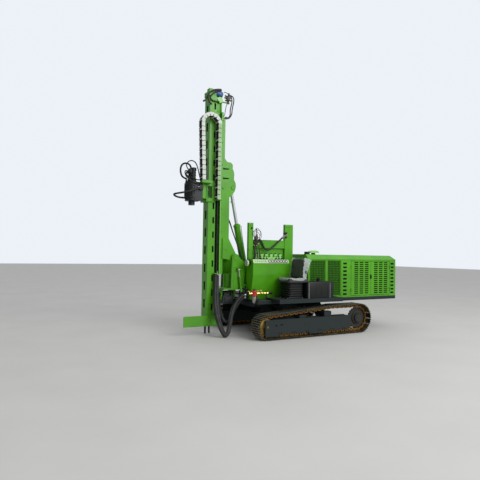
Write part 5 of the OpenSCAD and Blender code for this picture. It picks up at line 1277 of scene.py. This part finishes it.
class RIG_OT_mast(bpy.types.Operator):
    """Guide beam, feed chain, foot and head of the leader, with their bolts, valves and hoses"""
    bl_idname, bl_label = "rig.mast", "Mast"

    def execute(self, context):
        o = Shape()
        for y in (0.075, 0.105, 0.135):
            pts = [(1.908, y, 1.3683 + k * 0.2302) for k in range(8)]
            o.tube(pts, 0.0138, 14)
        o = o.put("channel_hose_run", "hose_rubber", None, ["channel_hoses"], 60)
        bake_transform(o)
        # Guide beam: a channel round the leader's rear flange, slimmer above the tilt ram's plates
        g, edges, marks = Shape(), Shape(), Shape()

        def slab(x, y, z):
            g.slab(x, y, z, 0.0015)
        lug = [(p.x, p.z) for p in circle(Vector((1.49, 0, 1.72)), X * 0.075, Z * 0.075, 30, radians(151))[:12]]
        lug += [(1.79, 1.7), (1.79, 2.15), (1.64, 2.15)]
        for s in (1, -1):
            g.upright([(1.626, 1.76), (1.774, 1.76), (1.774, 1.35), (1.854, 1.35), (1.854, 4.85), (1.757, 4.85),
                (1.757, 3.95), (1.626, 3.8)], s * 0.15, s * 0.015)
            slab((1.765, 1.789), (s * 0.11, s * 0.15), (1.35, 4.85))
            slab((1.789, 1.832), (s * 0.1365, s * 0.15), (1.35, 4.85))
            slab((1.832, 1.854), (s * 0.09, s * 0.15), (1.35, 4.85))
            g.upright(lug, s * 0.1652, s * 0.0248)
            g.rod((1.49, s * 0.189, 1.72), (1.49, s * 0.2325, 1.72), 0.065, 32, 0.004)
            g.upright([(1.64, 3.06), (1.53, 3.14), (1.462, 3.24), (1.44, 3.33), (1.448, 3.42), (1.494, 3.5),
                (1.486, 3.6), (1.496, 3.68), (1.528, 3.74), (1.526, 3.83), (1.572, 3.88), (1.7, 3.89), (1.758, 3.96),
                (1.758, 3.06)], s * 0.1, s * 0.02)
            g.rod((1.513, s * 0.08, 3.31), (1.513, s * 0.132, 3.31), 0.05, 28, 0.003)
            # Folded tab that holds a hose clip
            slab((1.7, 1.79), (s * 0.165, s * 0.195), (1.905, 1.913))
            slab((1.7, 1.708), (s * 0.165, s * 0.195), (1.87, 1.913))
            # Pressed slits beside the plates, each under its lip; the slits and the round mark below them are thin dark
            # plates of painted shade
            for z in (3.715, 3.5):
                marks.upright([(1.65, z - 0.012), (1.795, z - 0.022), (1.795, z + 0.01), (1.65, z + 0.01)], s * 0.1648,
                    s * 0.0014)
                slab((1.64, 1.802), (s * 0.165, s * 0.176), (z + 0.01, z + 0.018))
            marks.rod((1.795, s * 0.164, 3.26), (1.795, s * 0.1665, 3.26), 0.014, 16)
            # A pale green strip down the rear edge of each side: a painted highlight
            edges.slab((1.842, 1.856), (s * 0.164, s * 0.168), (1.352, 4.848), 0.0015)
        slab((1.626, 1.641), (-0.15, 0.15), (1.76, 3.8))
        slab((1.757, 1.77), (-0.15, 0.15), (3.94, 4.85))
        g.upright([(1.626, 3.8), (1.757, 3.95), (1.757, 3.93), (1.641, 3.797)], -0.15, 0.3)
        slab((1.853, 1.942), (0.06, 0.235), (1.352, 1.368))
        slab((1.94, 2.0), (0.15, 0.25), (1.352, 1.368))
        g.put("guide_body", "green_paint", "mast_guide", ["guide_beam"])
        # The pale strips are painted highlights along the rear edges
        edges.put("guide_edges", "pale_green", "mast_guide")
        # Slits and round marks of painted shade
        marks.put("guide_slits", "dark_recess", "mast_guide")
        dark = Shape()
        for s in (1, -1):
            dark.ring(0.012, 0.02, 0.003, (1.56, s * 0.1205, 2.98), Y * s, 18)
            dark.lathe([(0, 0), (0.006, 0), (0.006, 0.008), (0.003, 0.012), (0, 0.012)], (1.513, s * 0.132, 3.345),
                Y * s, 10)
        dark.put("guide_nipples", "black_iron", "mast_guide")
        side = [((1.815, s * 0.165, 2.3 + 0.5 * k), Y * s) for s in (1, -1) for k in range(6)]
        bolts("guide_bolts", side, "green_paint", 0.011, 0.008, "mast_guide")

        # Dark sheets of painted shade inside the leader, and the rail up its rear
        dark = Shape()
        dark.box((2.07, -0.11, 0.25), (2.074, 0.11, 5.28))
        for s in (1, -1):
            dark.slab((1.976, 2.05), (s * 0.112, s * 0.116), (0.45, 5.25))
        dark.put("leader_lining", "dark_recess", "mast_leader")
        rail = Shape().box((1.8, -0.062, 5.0003), (1.83, 0.062, 5.29), 0.002)
        rail.box((1.83, -0.045, 5.0003), (1.9618, 0.045, 5.325), 0.002)
        rail.put("leader_rail_top", "green_paint", "mast_leader")

        # Feed chain behind the leader's face slots, and bolts of the foot and the head
        link = Shape()
        for y in (-0.011, 0.008):
            link.prism([(0.008 * cos(a) + (0.0085 if cos(a) > 0 else -0.0085), 0.008 * sin(a))
                for a in (2 * pi * k / 12 + 0.01 for k in range(12))], (0, y, 0), Z, X, (0, 0.003, 0))
        link.rod((0, -0.013, 0.0085), (0, 0.013, 0.0085), 0.0045, 8)
        unit = link.mesh("feed link", 40)
        pitch = 0.034
        places = [((2.095, 0.0, 0.46 + k * pitch), Z, X) for k in range(int(4.8 / pitch))]
        repeated("feed_chain", unit, places, "black_iron", "mast_leader")
        head = [((2.1533, y, z), X) for y in (-0.105, 0.105) for z in (5.355, 5.415)]
        head += [((x, s * 0.134, z), Y * s) for s in (1, -1) for x in (2.01, 2.09) for z in (5.36, 5.41)]
        bolts("mast_head_bolts", head, "green_paint", body="mast_leader")
        foot = [((x, 0.156, z), Y) for x in (1.99, 2.1) for z in (0.25, 0.4)]
        bolts("foot_bolts", foot, "green_paint", 0.014, body="mast_leader")
        big = Shape()
        big.lathe([(0, 0), (0.03, 0), (0.03, 0.006), (0.022, 0.012), (0.012, 0.013), (0, 0.013)], (2.06, 0.1563, 0.345),
            Y, 24)
        big.tube([(1.86, 0.1568, 0.212), (2.66, 0.1568, 0.212)], 0.003, 6)
        pins = Shape()
        for x in (1.9995, 2.0955):
            big.lathe([(0.0185, 0), (0.026, 0), (0.026, 0.008), (0.0185, 0.01), (0.0185, 0)], (x, 0, 0.196), Z, 20)
            pins.rod((x, 0, 0.028), (x, 0, 0.19), 0.0215, 20, 0.002, hollow=0.0183)
        big.put("foot_pivot", "green_paint", "mast_leader")
        pins.put("foot_pins", "black_iron", "mast_leader")

        # Feed motor, set slightly askew on the head, with its ports
        motor, dark = Shape(), Shape()
        c, way = Vector((1.775, 0, 5.425)), Vector((0.985, 0, 0.172))
        motor.lathe([(0, 0.0), (0.062, 0.0), (0.074, 0.01), (0.078, 0.03), (0.078, 0.11), (0.072, 0.114),
            (0.072, 0.146), (0.086, 0.15), (0.086, 0.172), (0, 0.1725)], c, way, 32)
        motor.put("feed_motor_body", "blue_paint", "mast_leader", ["feed_motor"])
        bolts("feed_motor_bolts", [(p, -way) for p in circle(c + way * 0.149, Y * 0.079,
            Vector((-0.172, 0, 0.985)) * 0.079, 6, radians(30))], "black_iron", 0.007, body="mast_leader")
        dark.box((1.815, -0.04, 5.495), (1.89, 0.04, 5.517), 0.004)
        dark.rod((1.815, -0.02, 5.506), (1.795, -0.02, 5.506), 0.014, 6)
        dark.rod((1.85, 0.036, 5.506), (1.85, 0.064, 5.5), 0.015, 6)
        dark.put("feed_motor_ports", "black_iron", "mast_leader")
        thick = [
            [(1.845, 0.05, 5.5), (1.9, 0.12, 5.5), (1.985, 0.158, 5.465), (2.117, 0.16, 5.411), (2.205, 0.158, 5.31),
                (2.24, 0.15, 5.215), (2.275, 0.14, 5.18)],
            [(1.87, 0.062, 5.49), (1.92, 0.125, 5.47), (1.99, 0.165, 5.425), (2.09, 0.168, 5.355),
                (2.145, 0.165, 5.265), (2.09, 0.16, 5.215), (2.0, 0.158, 5.205), (1.92, 0.15, 5.215)],
            [(1.8, -0.02, 5.506), (1.83, 0.06, 5.53), (1.93, 0.13, 5.5), (2.06, 0.15, 5.455), (2.165, 0.172, 5.37),
                (2.2, 0.17, 5.26), (2.17, 0.16, 5.17), (2.11, 0.152, 5.14)],
        ]
        piped("head_hose_loops", thick, 0.0155, body="mast_leader")
        tips = Shape().rod((2.262, 0.143, 5.19), (2.302, 0.134, 5.165), 0.021, 12)
        for x, z in ((1.935, 5.215), (2.11, 5.14)):
            tips.rod((x, 0.134, z), (x, 0.165, z), 0.02, 12)
        tips.put("head_hose_tips", "black_iron", "mast_leader")
        Shape().lathe([(0, 0), (0.062, 0), (0.066, 0.003), (0.066, 0.012), (0.058, 0.014), (0.03, 0.01), (0, 0.01)],
            (1.868, 0.0905, 5.28), Y, 32).put("head_plate", "pale_green", "mast_leader")

        # Cluster of valves on its arm: a body, cartridges all round and their unions
        valves = Shape()
        c = Vector((1.66, 0.08, 5.35))
        valves.box(c - Vector((0.034, 0.04, 0.06)), c + Vector((0.034, 0.04, 0.06)), 0.006)
        for a, reach, r in ((100, 0.125, 0.019), (40, 0.1, 0.017), (160, 0.095, 0.017), (210, 0.09, 0.016),
                (262, 0.125, 0.019), (320, 0.09, 0.016), (5, 0.09, 0.016)):
            d = Vector((cos(radians(a)), 0, sin(radians(a))))
            valves.rod(c + d * 0.03, c + d * (reach - 0.022), r, 12)
            valves.hexagon(c + d * (reach - 0.022), d, r * 1.25, 0.022)
        valves.box((1.64, 0.066, 5.236), (1.682, 0.094, 5.3), 0.003)
        Shape().box((1.64, 0.07, 5.232), (1.9617, 0.09, 5.262), 0.003).put("head_valve_arm", "green_paint",
            "mast_leader")
        for z in (5.31, 5.35, 5.39):
            valves.hexagon((1.66, 0.12, z), Y, 0.012, 0.014)
        valves.put("head_valve_body", "valve_brown", "mast_leader", ["head_valves"])
        piped("head_thin_hoses", [
            [(1.664, 0.13, 5.39), (1.69, 0.15, 5.42), (1.74, 0.15, 5.45), (1.78, 0.11, 5.465)],
            [(1.664, 0.13, 5.31), (1.68, 0.16, 5.26), (1.735, 0.16, 5.17), (1.76, 0.158, 5.06), (1.772, 0.15, 4.96),
                (1.79, 0.14, 4.9)],
        ], 0.0075, body="mast_leader", sides=8)
        o = Shape()
        for k, y in enumerate((0.062, 0.096)):
            path = smooth_path([(1.632, y, 5.42), (1.6, y, 5.428), (1.562 - k * 0.03, y, 5.39),
                (1.55 - k * 0.03, y, 5.3), (1.572 - k * 0.03, y, 5.19), (1.59 - k * 0.03, y, 5.09),
                (1.592 - k * 0.02, y, 4.99), (1.64, y, 4.915 - k * 0.02), (1.71, y, 4.895 - k * 0.01),
                (1.752, y, 4.885), (1.775, y, 4.868), (1.782, y, 4.852)], 4)
            o.tube(path, 0.0125, 10)
        o = o.put("guide_top_hoses", "hose_rubber", None, angle=60)
        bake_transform(o)
        Shape().box((1.7, 0.12, 4.8505), (1.76, 0.16, 4.9), 0.004).put("guide_top_clamp", "black_iron", "mast_guide")
        return {"FINISHED"}


class RIG_OT_energy_chain(bpy.types.Operator):
    """Links, rungs and inner hoses of the energy chain, in a rear run, a bend and a front run"""
    bl_idname, bl_label = "rig.energy_chain", "Energy chain"

    def execute(self, context):
        x0, r, top, low, high = 1.91, 0.245, 4.9, 3.0, 3.4
        bend, depth, lean = top - r, 0.083, 0.045
        y0, y1, pitch = 0.145, 0.308, 0.105
        middle = (y0 + y1) / 2
        over, up = pi * r, bend - low
        total = up + over + (bend - high)
        count = round(total / pitch)
        p = total / count

        def at(s):
            if s < up:
                return Vector((x0, 0, low + s)), -X, Z
            if s < up + over:
                a = pi - (s - up) / r
                out = Vector((cos(a), 0, sin(a)))
                return Vector((x0 + r, 0, bend)) + out * r, out, Vector((out.z, 0, -out.x))
            d = s - up - over
            return Vector((x0 + 2 * r - lean * d / (bend - high), 0, bend - d)), X, -Z
        # One side plate of a link: Z is out of the chain, X is along it
        plate = Shape()
        prof = [(-0.5, -0.1), (-0.44, -0.02), (0.34, -0.02), (0.4, -0.1), (0.4, -0.9), (0.34, -0.98), (-0.44, -0.98),
            (-0.5, -0.9)]
        plate.upright([(u * p * 0.99, v * depth) for u, v in prof], -0.003, 0.006)
        plate.lathe([(0, 0), (0.013, 0), (0.013, 0.003), (0.006, 0.004), (0, 0.004)], (-0.34 * p, 0.0025, -depth / 2),
            Y, 10)
        side = plate.mesh("chain side", 35)
        # Black tabs on the side plates' inner faces: painted shade inside the chain
        tab = Shape().upright([(0.28 * p, -0.16 * depth), (0.56 * p, -0.16 * depth), (0.6 * p, -0.3 * depth),
            (0.6 * p, -0.7 * depth), (0.56 * p, -0.84 * depth), (0.28 * p, -0.84 * depth)], -0.0085, 0.005)
        inner = tab.mesh("chain tab", 35)
        h = context.scene.rig_sizes.rung
        rung = Shape()
        half = (y1 - y0) / 2 - 0.004
        for z in (0.0, 0.01 - depth):
            rung.box((-h / 2, -half, z - 0.01), (h / 2, half, z), 0.003)
        bar = rung.mesh("chain rung", 35)
        parts = {"rear": ([], [], []), "bend": ([], [], []), "front": ([], [], [])}
        for i in range(count):
            s = (i + 0.5) * p
            q, out, way = at(s)
            key = "rear" if s < up else "bend" if s < up + over else "front"
            plates, tabs, rungs = parts[key]
            for y in (y0 + 0.0035, y1 - 0.0065):
                plates.append((q + Y * y, out, way))
                tabs.append((q + Y * (y + 0.004 if y > 0.2 else y + 0.013), out, way))
            if i % 2 == 0:
                rungs.append((q + Y * middle, out, way))
        spans = {"rear": (0.0, up), "bend": (up, up + over), "front": (up + over, total)}
        for key, (plates, tabs, rungs) in parts.items():
            # The rear run's side plates take the dimmed copy of the white link, a painted shade; the bend and the front
            # run stay white
            look, nodes = "chain_side_painted_shade" if key == "rear" else "white_link", ["energy_chain"] if key == "bend" else ()
            made = [repeated("chain_sides_" + key, side.copy(), plates, look, None, nodes),
                # Black tabs of painted shade
                repeated("chain_tabs_" + key, inner.copy(), tabs, "black_plastic", None),
                repeated("chain_rungs_" + key, bar.copy(), rungs, "white_link", None)]
            a, b = spans[key]
            n = 24 if key == "bend" else 10
            lines = []
            for k, (y, d) in enumerate((y, d) for y in (0.174, 0.209, 0.244, 0.279) for d in (0.0255, 0.0575)):
                line = []
                for j in range(n + 1):
                    q, out, way = at(min(a + (b - a) * j / n, (up if key == "rear" else total) - 1e-6))
                    line.append(q - out * d + Y * (y + 0.001 * sin(j * 1.7 + k)))
                lines.append(line)
            made.append(piped("chain_hoses_" + key, lines, 0.0155, body=None, sides=8, steps=1))
            for o in made:
                if key == "rear":
                    # From the shelf, which stays, to the bend, which moves half as far as the carriage
                    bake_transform(o)
                elif key == "bend":
                    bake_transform(o)
                else:
                    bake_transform(o)
        Shape().box((1.868, 0.142, 2.9998), (1.998, 0.311, 3.006), 0.002).put("chain_foot", "bright_metal",
            "mast_leader")
        Shape().box((2.268, 0.142, 3.3935), (2.36, 0.311, 3.4), 0.002).put("chain_end", "bright_metal", "head_carriage")
        return {"FINISHED"}


class RIG_OT_bracket(bpy.types.Operator):
    """Welds, wings, keeper plates, ram glands, ports and hoses round the mast's foot"""
    bl_idname, bl_label = "rig.bracket", "Bracket and rams"

    def execute(self, context):
        g, m, wings = Shape(), Shape(), Shape()
        for s in (1, -1):
            wings.upright([(1.5, 1.815), (1.279, 1.625), (1.262, 1.5), (1.262, 1.036), (1.52, 1.036), (1.56, 1.5),
                (1.56, 1.7)], s * 0.2626, s * 0.004)
            g.slab((1.262, 1.56), (s * 0.2666, s * 0.271), (1.502, 1.512), 0.001)
            g.tube([(1.255, s * 0.2615, 1.033), (1.595, s * 0.2615, 1.033)], 0.005, 6)
            m.slab((1.452, 1.528), (s * 0.2745, s * 0.28), (1.752, 1.776), 0.002)
        g.lathe([(0.112, 0), (0.122, 0), (0.112, 0.012), (0.112, 0)], (1.545, 0, 1.03), Z, 32)
        g.lathe([(0, 0), (0.1125, 0), (0.1125, 0.012), (0.104, 0.016), (0, 0.016)], (1.545, 0, 1.3305), Z, 32)
        g.put("bracket_welds", "green_paint", "mast_bracket")
        m.put("pin_keepers", "green_paint", "mast_bracket")
        wings.put("bracket_wings", "green_paint", "mast_bracket")
        bolts("bracket_base_bolts", [((x, s * 0.235, 1.03), Z) for s in (1, -1) for x in (1.275, 1.64, 1.7, 1.755)],
            "green_paint", 0.013, 0.011, "mast_bracket")
        Shape().lathe([(0, 0), (0.074, 0), (0.078, 0.004), (0.078, 0.012), (0.07, 0.016), (0, 0.017)],
            (1.7872, 0, 0.86), X, 28).put("lean_shaft_cap", "grey_paint", "mast_bracket")
        bolts("lean_cap_bolts", [(p, X) for p in circle(Vector((1.8035, 0, 0.86)), Y * 0.055, Z * 0.055, 6)], r=0.008,
            body="mast_bracket")
        h = Shape()
        for s in (1, -1):
            h.slab((1.5, 1.7), (s * 0.15, s * 0.162), (0.7, 0.82), 0.004)
        h.put("housing_plates", "grey_paint")
        bolts("housing_bolts", [((x, s * 0.162, z), Y * s) for s in (1, -1) for x in (1.525, 1.675)
            for z in (0.725, 0.795)], "grey_paint", 0.011, 0.009)
        # Tilt ram: gland, ports and the pipe along its barrel
        foot, eye = Vector((1.05, 0, 1.09)), Vector((1.513, 0, 3.31))
        w = (eye - foot).normalized()
        front = Vector((w.z, 0, -w.x))
        ram = Shape()
        ram.lathe([(0.0285, 1.414), (0.055, 1.414), (0.06, 1.418), (0.06, 1.432), (0.052, 1.44), (0.0285, 1.44),
            (0.0285, 1.414)], foot, w, 8)
        for d in (0.3, 0.98):
            ram.lathe([(0.076, 0), (0.08, 0.002), (0.08, 0.025), (0.076, 0.027), (0.076, 0)], foot + w * d, w, 32)
        ram.put("tilt_ram_bands", "green_paint", "tilt_ram_barrel")
        ports = Shape()
        for d in (0.15, 1.385):
            at = foot + w * d - front * 0.07
            ports.disc(0.02, 0.022, at, -front, 12)
            ports.disc(0.015, 0.016, at - front * 0.018, -front, 6)
        ports.put("tilt_ram_ports", "bright_metal", "tilt_ram_barrel")
        line = [foot + w * 1.385 - front * 0.102, foot + w * 1.36 - front * 0.112, foot + w * 1.3 - front * 0.104,
            foot + w * 0.9 - front * 0.092, foot + w * 0.5 - front * 0.092, foot + w * 0.22 - front * 0.1]
        piped("tilt_ram_pipe", [line], 0.0075, "green_paint", "tilt_ram_barrel", 8)
        rod = Shape()
        rod.lathe([(0.0285, 2.205), (0.046, 2.205), (0.048, 2.212), (0.048, 2.228), (0.0285, 2.232), (0.0285, 2.205)],
            foot, w, 20)
        Shape().rod(eye - w * 0.048, eye - w * 1.348, 0.038, 28, 0.004).put("tilt_rod_chrome", "chrome_rod",
            "tilt_ram_rod")
        rod.put("tilt_rod_nut", "black_iron", "tilt_ram_rod")
        # Lean ram
        f2, e2 = Vector((1.372, 0.32, 0.965)), Vector((1.43, 0.32, 1.45))
        w2 = (e2 - f2).normalized()
        lean = Shape()
        lean.lathe([(0.0115, 0.329), (0.02, 0.329), (0.0235, 0.332), (0.0235, 0.35), (0.0115, 0.352), (0.0115, 0.329)],
            f2, w2, 20)
        for d in (0.075, 0.3):
            lean.disc(0.009, 0.018, f2 + w2 * d + Y * 0.02, Y, 10)
        lean.put("lean_ram_gland", "bright_metal", "lean_ram_barrel")
        # Hoses of the tilt ram, held by the guide's lug and the bracket
        o = Shape()
        for k in (0, 1):
            path = smooth_path([(1.63, 0.05 + k * 0.03, 2.62), (1.6, 0.055 + k * 0.03, 2.6),
                (1.56, 0.075 + k * 0.03, 2.5), (1.5, 0.11 + k * 0.02, 2.3), (1.42, 0.15 + k * 0.02, 2.06),
                (1.34, 0.18 + k * 0.02, 1.82), (1.285, 0.2 + k * 0.015, 1.6), (1.262, 0.205 + k * 0.015, 1.36),
                (1.262, 0.205 + k * 0.015, 1.12), (1.27, 0.205 + k * 0.015, 1.031)], 4)
            o.tube(path, 0.0095, 10)
        o = o.put("tilt_hoses", "hose_rubber", None, angle=60)
        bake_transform(o)
        Shape().box((1.245, 0.195, 1.03), (1.295, 0.24, 1.04), 0.002).put("hose_clips", "bright_metal", "mast_bracket")
        clamp = Shape()
        for z in (0.89, 0.83):
            clamp.box((1.262, 0.388, z - 0.036), (1.318, 0.462, z - 0.031), 0.002)
        clamp.put("clamp_plates", "grey_paint", "mast_bracket")
        bolts("clamp_bolts", [((1.318, y, z), X) for y in (0.397, 0.453) for z in (0.808, 0.86, 0.92)], "grey_paint",
            0.007, 0.006, "mast_bracket")
        return {"FINISHED"}


class RIG_OT_drill_head(bpy.types.Operator):
    """Bolts, ribs, ports and hoses of the rotary head and its carriage"""
    bl_idname, bl_label = "rig.drill_head", "Drill head"

    def execute(self, context):
        c = Vector((2.477, 0, 0))
        around = []
        for z, way in ((3.01, -Z), (3.32, Z)):
            around += [(p, way) for p in circle(c + Z * z, X * 0.157, Y * 0.157, 16, pi / 16) if p.x > c.x - 0.1]
        bolts("gearbox_bolts", around, "black_iron", 0.0085, 0.009, "head_carriage")
        ribs = Shape()
        for k in range(-3, 4):
            a = radians(k * 24)
            d = Vector((cos(a), sin(a), 0))
            side = Vector((-d.y, d.x, 0))
            at = c + d * 0.146
            ribs.prism(tile(-0.006, 0, 0.006, 0.018), at + Z * 3.052, side, d, Z * 0.226)
        ribs.lathe([(0.0, 0), (0.06, 0), (0.064, 0.004), (0.064, 0.014), (0.0, 0.018)], c + Z * 3.3701, Z, 24)
        ribs.put("gearbox_ribs", "black_iron", "head_carriage")
        motors, hexes = Shape(), []
        for y in (-0.075, 0.075):
            m = c + Y * y
            for z, h in ((3.5, 0.024), (3.56, 0.016)):
                motors.lathe([(0.0555, 0), (0.06, 0.004), (0.06, h - 0.004), (0.0555, h), (0.0555, 0)], m + Z * z)
            motors.box(m + Vector((0.04, -0.03, 3.56)), m + Vector((0.078, 0.03, 3.64)), 0.005)
            for z in (3.58, 3.62):
                motors.hexagon(m + Vector((0.078, 0, z)), X, 0.014, 0.014)
            hexes += [(p, Z) for p in circle(m + Z * 3.4305, X * 0.06, Y * 0.06, 8)]
        motors.put("motor_bands", "black_iron", "head_carriage")
        bolts("motor_bolts", hexes, "black_iron", 0.006, 0.006, "head_carriage")
        for name, nodes, route in zip(("big_head_hose", "top_head_hose"), (["head_hoses"], ()), HEAD_ROUTES):
            Shape().tube(smooth_path(route, 4), 0.0198, 16).put(name, "hose_rubber", "head_carriage", nodes, 60)
        ends = Shape()
        for at, way in (((2.387, 0.1855, 3.23), Y), ((2.6455, -0.08, 3.02), X), ((2.477, -0.075, 3.6708), Z),
                ((2.582, -0.06, 3.4056), Z)):
            ends.ring(0.0203, 0.027, 0.012, at, way, 6)
        ends.put("head_hose_nuts", "bright_metal", "head_carriage")
        extra = [
            [(2.56, 0.075, 3.58), (2.6, 0.08, 3.585), (2.65, 0.105, 3.56), (2.655, 0.135, 3.48), (2.6, 0.17, 3.4),
                (2.5, 0.19, 3.34), (2.42, 0.185, 3.32), (2.36, 0.172, 3.33)],
            [(2.56, 0.075, 3.62), (2.61, 0.078, 3.64), (2.64, 0.07, 3.72), (2.59, 0.06, 3.8), (2.51, 0.066, 3.83),
                (2.43, 0.09, 3.78), (2.39, 0.13, 3.64), (2.372, 0.165, 3.5), (2.345, 0.19, 3.405)],
            [(2.56, -0.075, 3.62), (2.59, -0.076, 3.625), (2.6, -0.11, 3.6), (2.56, -0.15, 3.52), (2.46, -0.17, 3.44),
                (2.38, -0.168, 3.38), (2.33, -0.16, 3.34)],
            [(2.56, -0.075, 3.58), (2.588, -0.07, 3.575), (2.596, -0.04, 3.55), (2.6, 0.0, 3.52), (2.6, 0.04, 3.5),
                (2.58, 0.11, 3.46), (2.52, 0.16, 3.43), (2.44, 0.19, 3.402), (2.35, 0.2, 3.4)],
        ]
        piped("head_small_hoses", extra, 0.0115, body="head_carriage")
        box = Shape()
        box.box((2.29, 0.166, 3.18), (2.37, 0.2, 3.3), 0.004)
        box.box((2.3, -0.19, 3.2), (2.36, -0.164, 3.33), 0.004)
        for z in (3.2, 3.24, 3.28):
            box.disc(0.01, 0.01, (2.33, 0.199, z), Y, 6)
        box.put("head_manifolds", "black_iron", "head_carriage")
        plate = [((2.2835, y, z), X) for y in (-0.142, 0.142) for z in (3.03, 3.12, 3.25, 3.34)]
        plate += [((x, s * 0.164, z), Y * s) for s in (1, -1) for x in (2.03, 2.16) for z in (2.985, 3.06, 3.2, 3.3)]
        bolts("carriage_bolts", plate, "green_paint", 0.01, 0.009, "head_carriage")
        # Window in the carriage's side plate, its opening a thin dark green plate of painted shade, with its frame and
        # the weld beside it
        g, gap = Shape(), Shape()
        for s in (1, -1):
            gap.upright(tile(2.06, 3.03, 2.165, 3.29), s * 0.1641, s * 0.0012)
            for x, z in (((2.05, 2.175), (3.29, 3.3)), ((2.05, 2.175), (3.02, 3.03)), ((2.05, 2.06), (3.03, 3.29)),
                    ((2.165, 2.175), (3.03, 3.29))):
                g.slab(x, (s * 0.164, s * 0.17), z, 0.002)
            g.tube([(2.1935, s * 0.151, 3.012), (2.1935, s * 0.151, 3.358)], 0.005, 6)
        g.box((2.19, -0.166, 3.405), (2.196, 0.166, 3.421), 0.002)
        gap.put("carriage_windows", "painted_green_shade", "head_carriage")
        g.put("carriage_welds", "green_paint", "head_carriage")
        nose = Shape()
        nose.lathe([(0.0325, 0), (0.066, 0), (0.0705, 0.004), (0.0705, 0.016), (0.066, 0.018), (0.0325, 0.018),
            (0.0325, 0)], c + Z * 2.8605, Z, 32)
        nose.lathe([(0.07, 0), (0.0725, 0.003), (0.0725, 0.014), (0.07, 0.017), (0.07, 0)], c + Z * 2.905, Z, 32)
        nose.put("spindle_rings", "black_iron", "drill_spindle")
        bolts("spindle_bolts", [(p, -Z) for p in circle(c + Z * 2.8605, X * 0.053, Y * 0.053, 6)], r=0.007, h=0.004,
            body="drill_spindle")
        return {"FINISHED"}


class RIG_OT_deck(bpy.types.Operator):
    """Step treads, sill bolts, towing eyes and the hoses that lie on the deck"""
    bl_idname, bl_label = "rig.deck", "Deck"

    def execute(self, context):
        stud = Shape()
        stud.prism([(-0.016, 0), (0, -0.004), (0.016, 0), (0, 0.004)], (0, 0, 0), X, Y, (0, 0, 0.0018))
        unit = stud.mesh("tread", 20)
        places = []
        for s, x0, x1 in ((1, -0.6, 0.62), (-1, -0.53, 0.53)):
            for i in range(62):
                x = -0.835 + i * 0.028
                if not x0 < x < x1:
                    places += [((x, s * (0.88 + j * 0.028), 0.84), Z, (1, 1, 0) if (i + j) % 2 else (1, -1, 0))
                        for j in range(11)]
        repeated("step_treads", unit, places, "frame_paint")
        sill = [((-2.8 + i * 0.3, s * HOOD_Y, 0.745), Y * s) for s in (1, -1) for i in range(7)]
        bolts("sill_bolts", sill, "frame_paint", 0.011, 0.008)
        tow = Shape()
        for s in (1, -1):
            tow.upright([(0.0, 0.03), (0.0, -0.05), (0.03, -0.075), (0.065, -0.06), (0.075, -0.02), (0.06, 0.03)],
                s * 0.315 - 0.015, 0.03, -2.895, 0.76)
        tow.put("tow_eyes", "frame_paint")
        piped("deck_hoses", [[(1.16, 0.25, 0.812), (1.05, 0.245, 0.814), (0.8, 0.235, 0.813), (0.5, 0.255, 0.814),
            (0.2, 0.24, 0.813), (-0.05, 0.245, 0.814)], [(1.16, 0.215, 0.812), (1.0, 0.205, 0.814), (0.75, 0.2, 0.813),
            (0.45, 0.215, 0.814), (0.15, 0.205, 0.813), (-0.05, 0.21, 0.814)]], 0.012)
        return {"FINISHED"}


class RIG_PT_panel(bpy.types.Panel):
    """Steps that dress the rig"""
    bl_idname, bl_label = "RIG_PT_panel", "Pile driver rig"
    bl_space_type, bl_region_type, bl_category = "VIEW_3D", "UI", "Rig"

    def draw(self, context):
        for group in (context.scene.rig_paint, context.scene.rig_sizes):
            for key in group.bl_rna.properties.keys():
                if key not in ("rna_type", "name"):
                    self.layout.prop(group, key)
        for step in STEPS:
            self.layout.operator(step.bl_idname)


STEPS = (RIG_OT_stage, RIG_OT_cords, RIG_OT_finishes, RIG_OT_tracks, RIG_OT_running_gear, RIG_OT_deck, RIG_OT_hood,
    RIG_OT_console, RIG_OT_seat, RIG_OT_tanks, RIG_OT_lubricator, RIG_OT_hose_frame, RIG_OT_mast, RIG_OT_energy_chain,
    RIG_OT_bracket, RIG_OT_drill_head)
CLASSES = (RigPaint, RigSizes) + STEPS + (RIG_PT_panel,)


def register():
    for c in CLASSES:
        bpy.utils.register_class(c)
    bpy.types.Scene.rig_paint = bpy.props.PointerProperty(type=RigPaint)
    bpy.types.Scene.rig_sizes = bpy.props.PointerProperty(type=RigSizes)


def unregister():
    del bpy.types.Scene.rig_sizes
    del bpy.types.Scene.rig_paint
    for c in reversed(CLASSES):
        bpy.utils.unregister_class(c)


def main():
    register()
    make_finishes(bpy.context.scene.rig_paint)
    for step in STEPS:
        group, name = step.bl_idname.split(".")
        getattr(getattr(bpy.ops, group), name)()


if __name__ == "__main__":
    main()
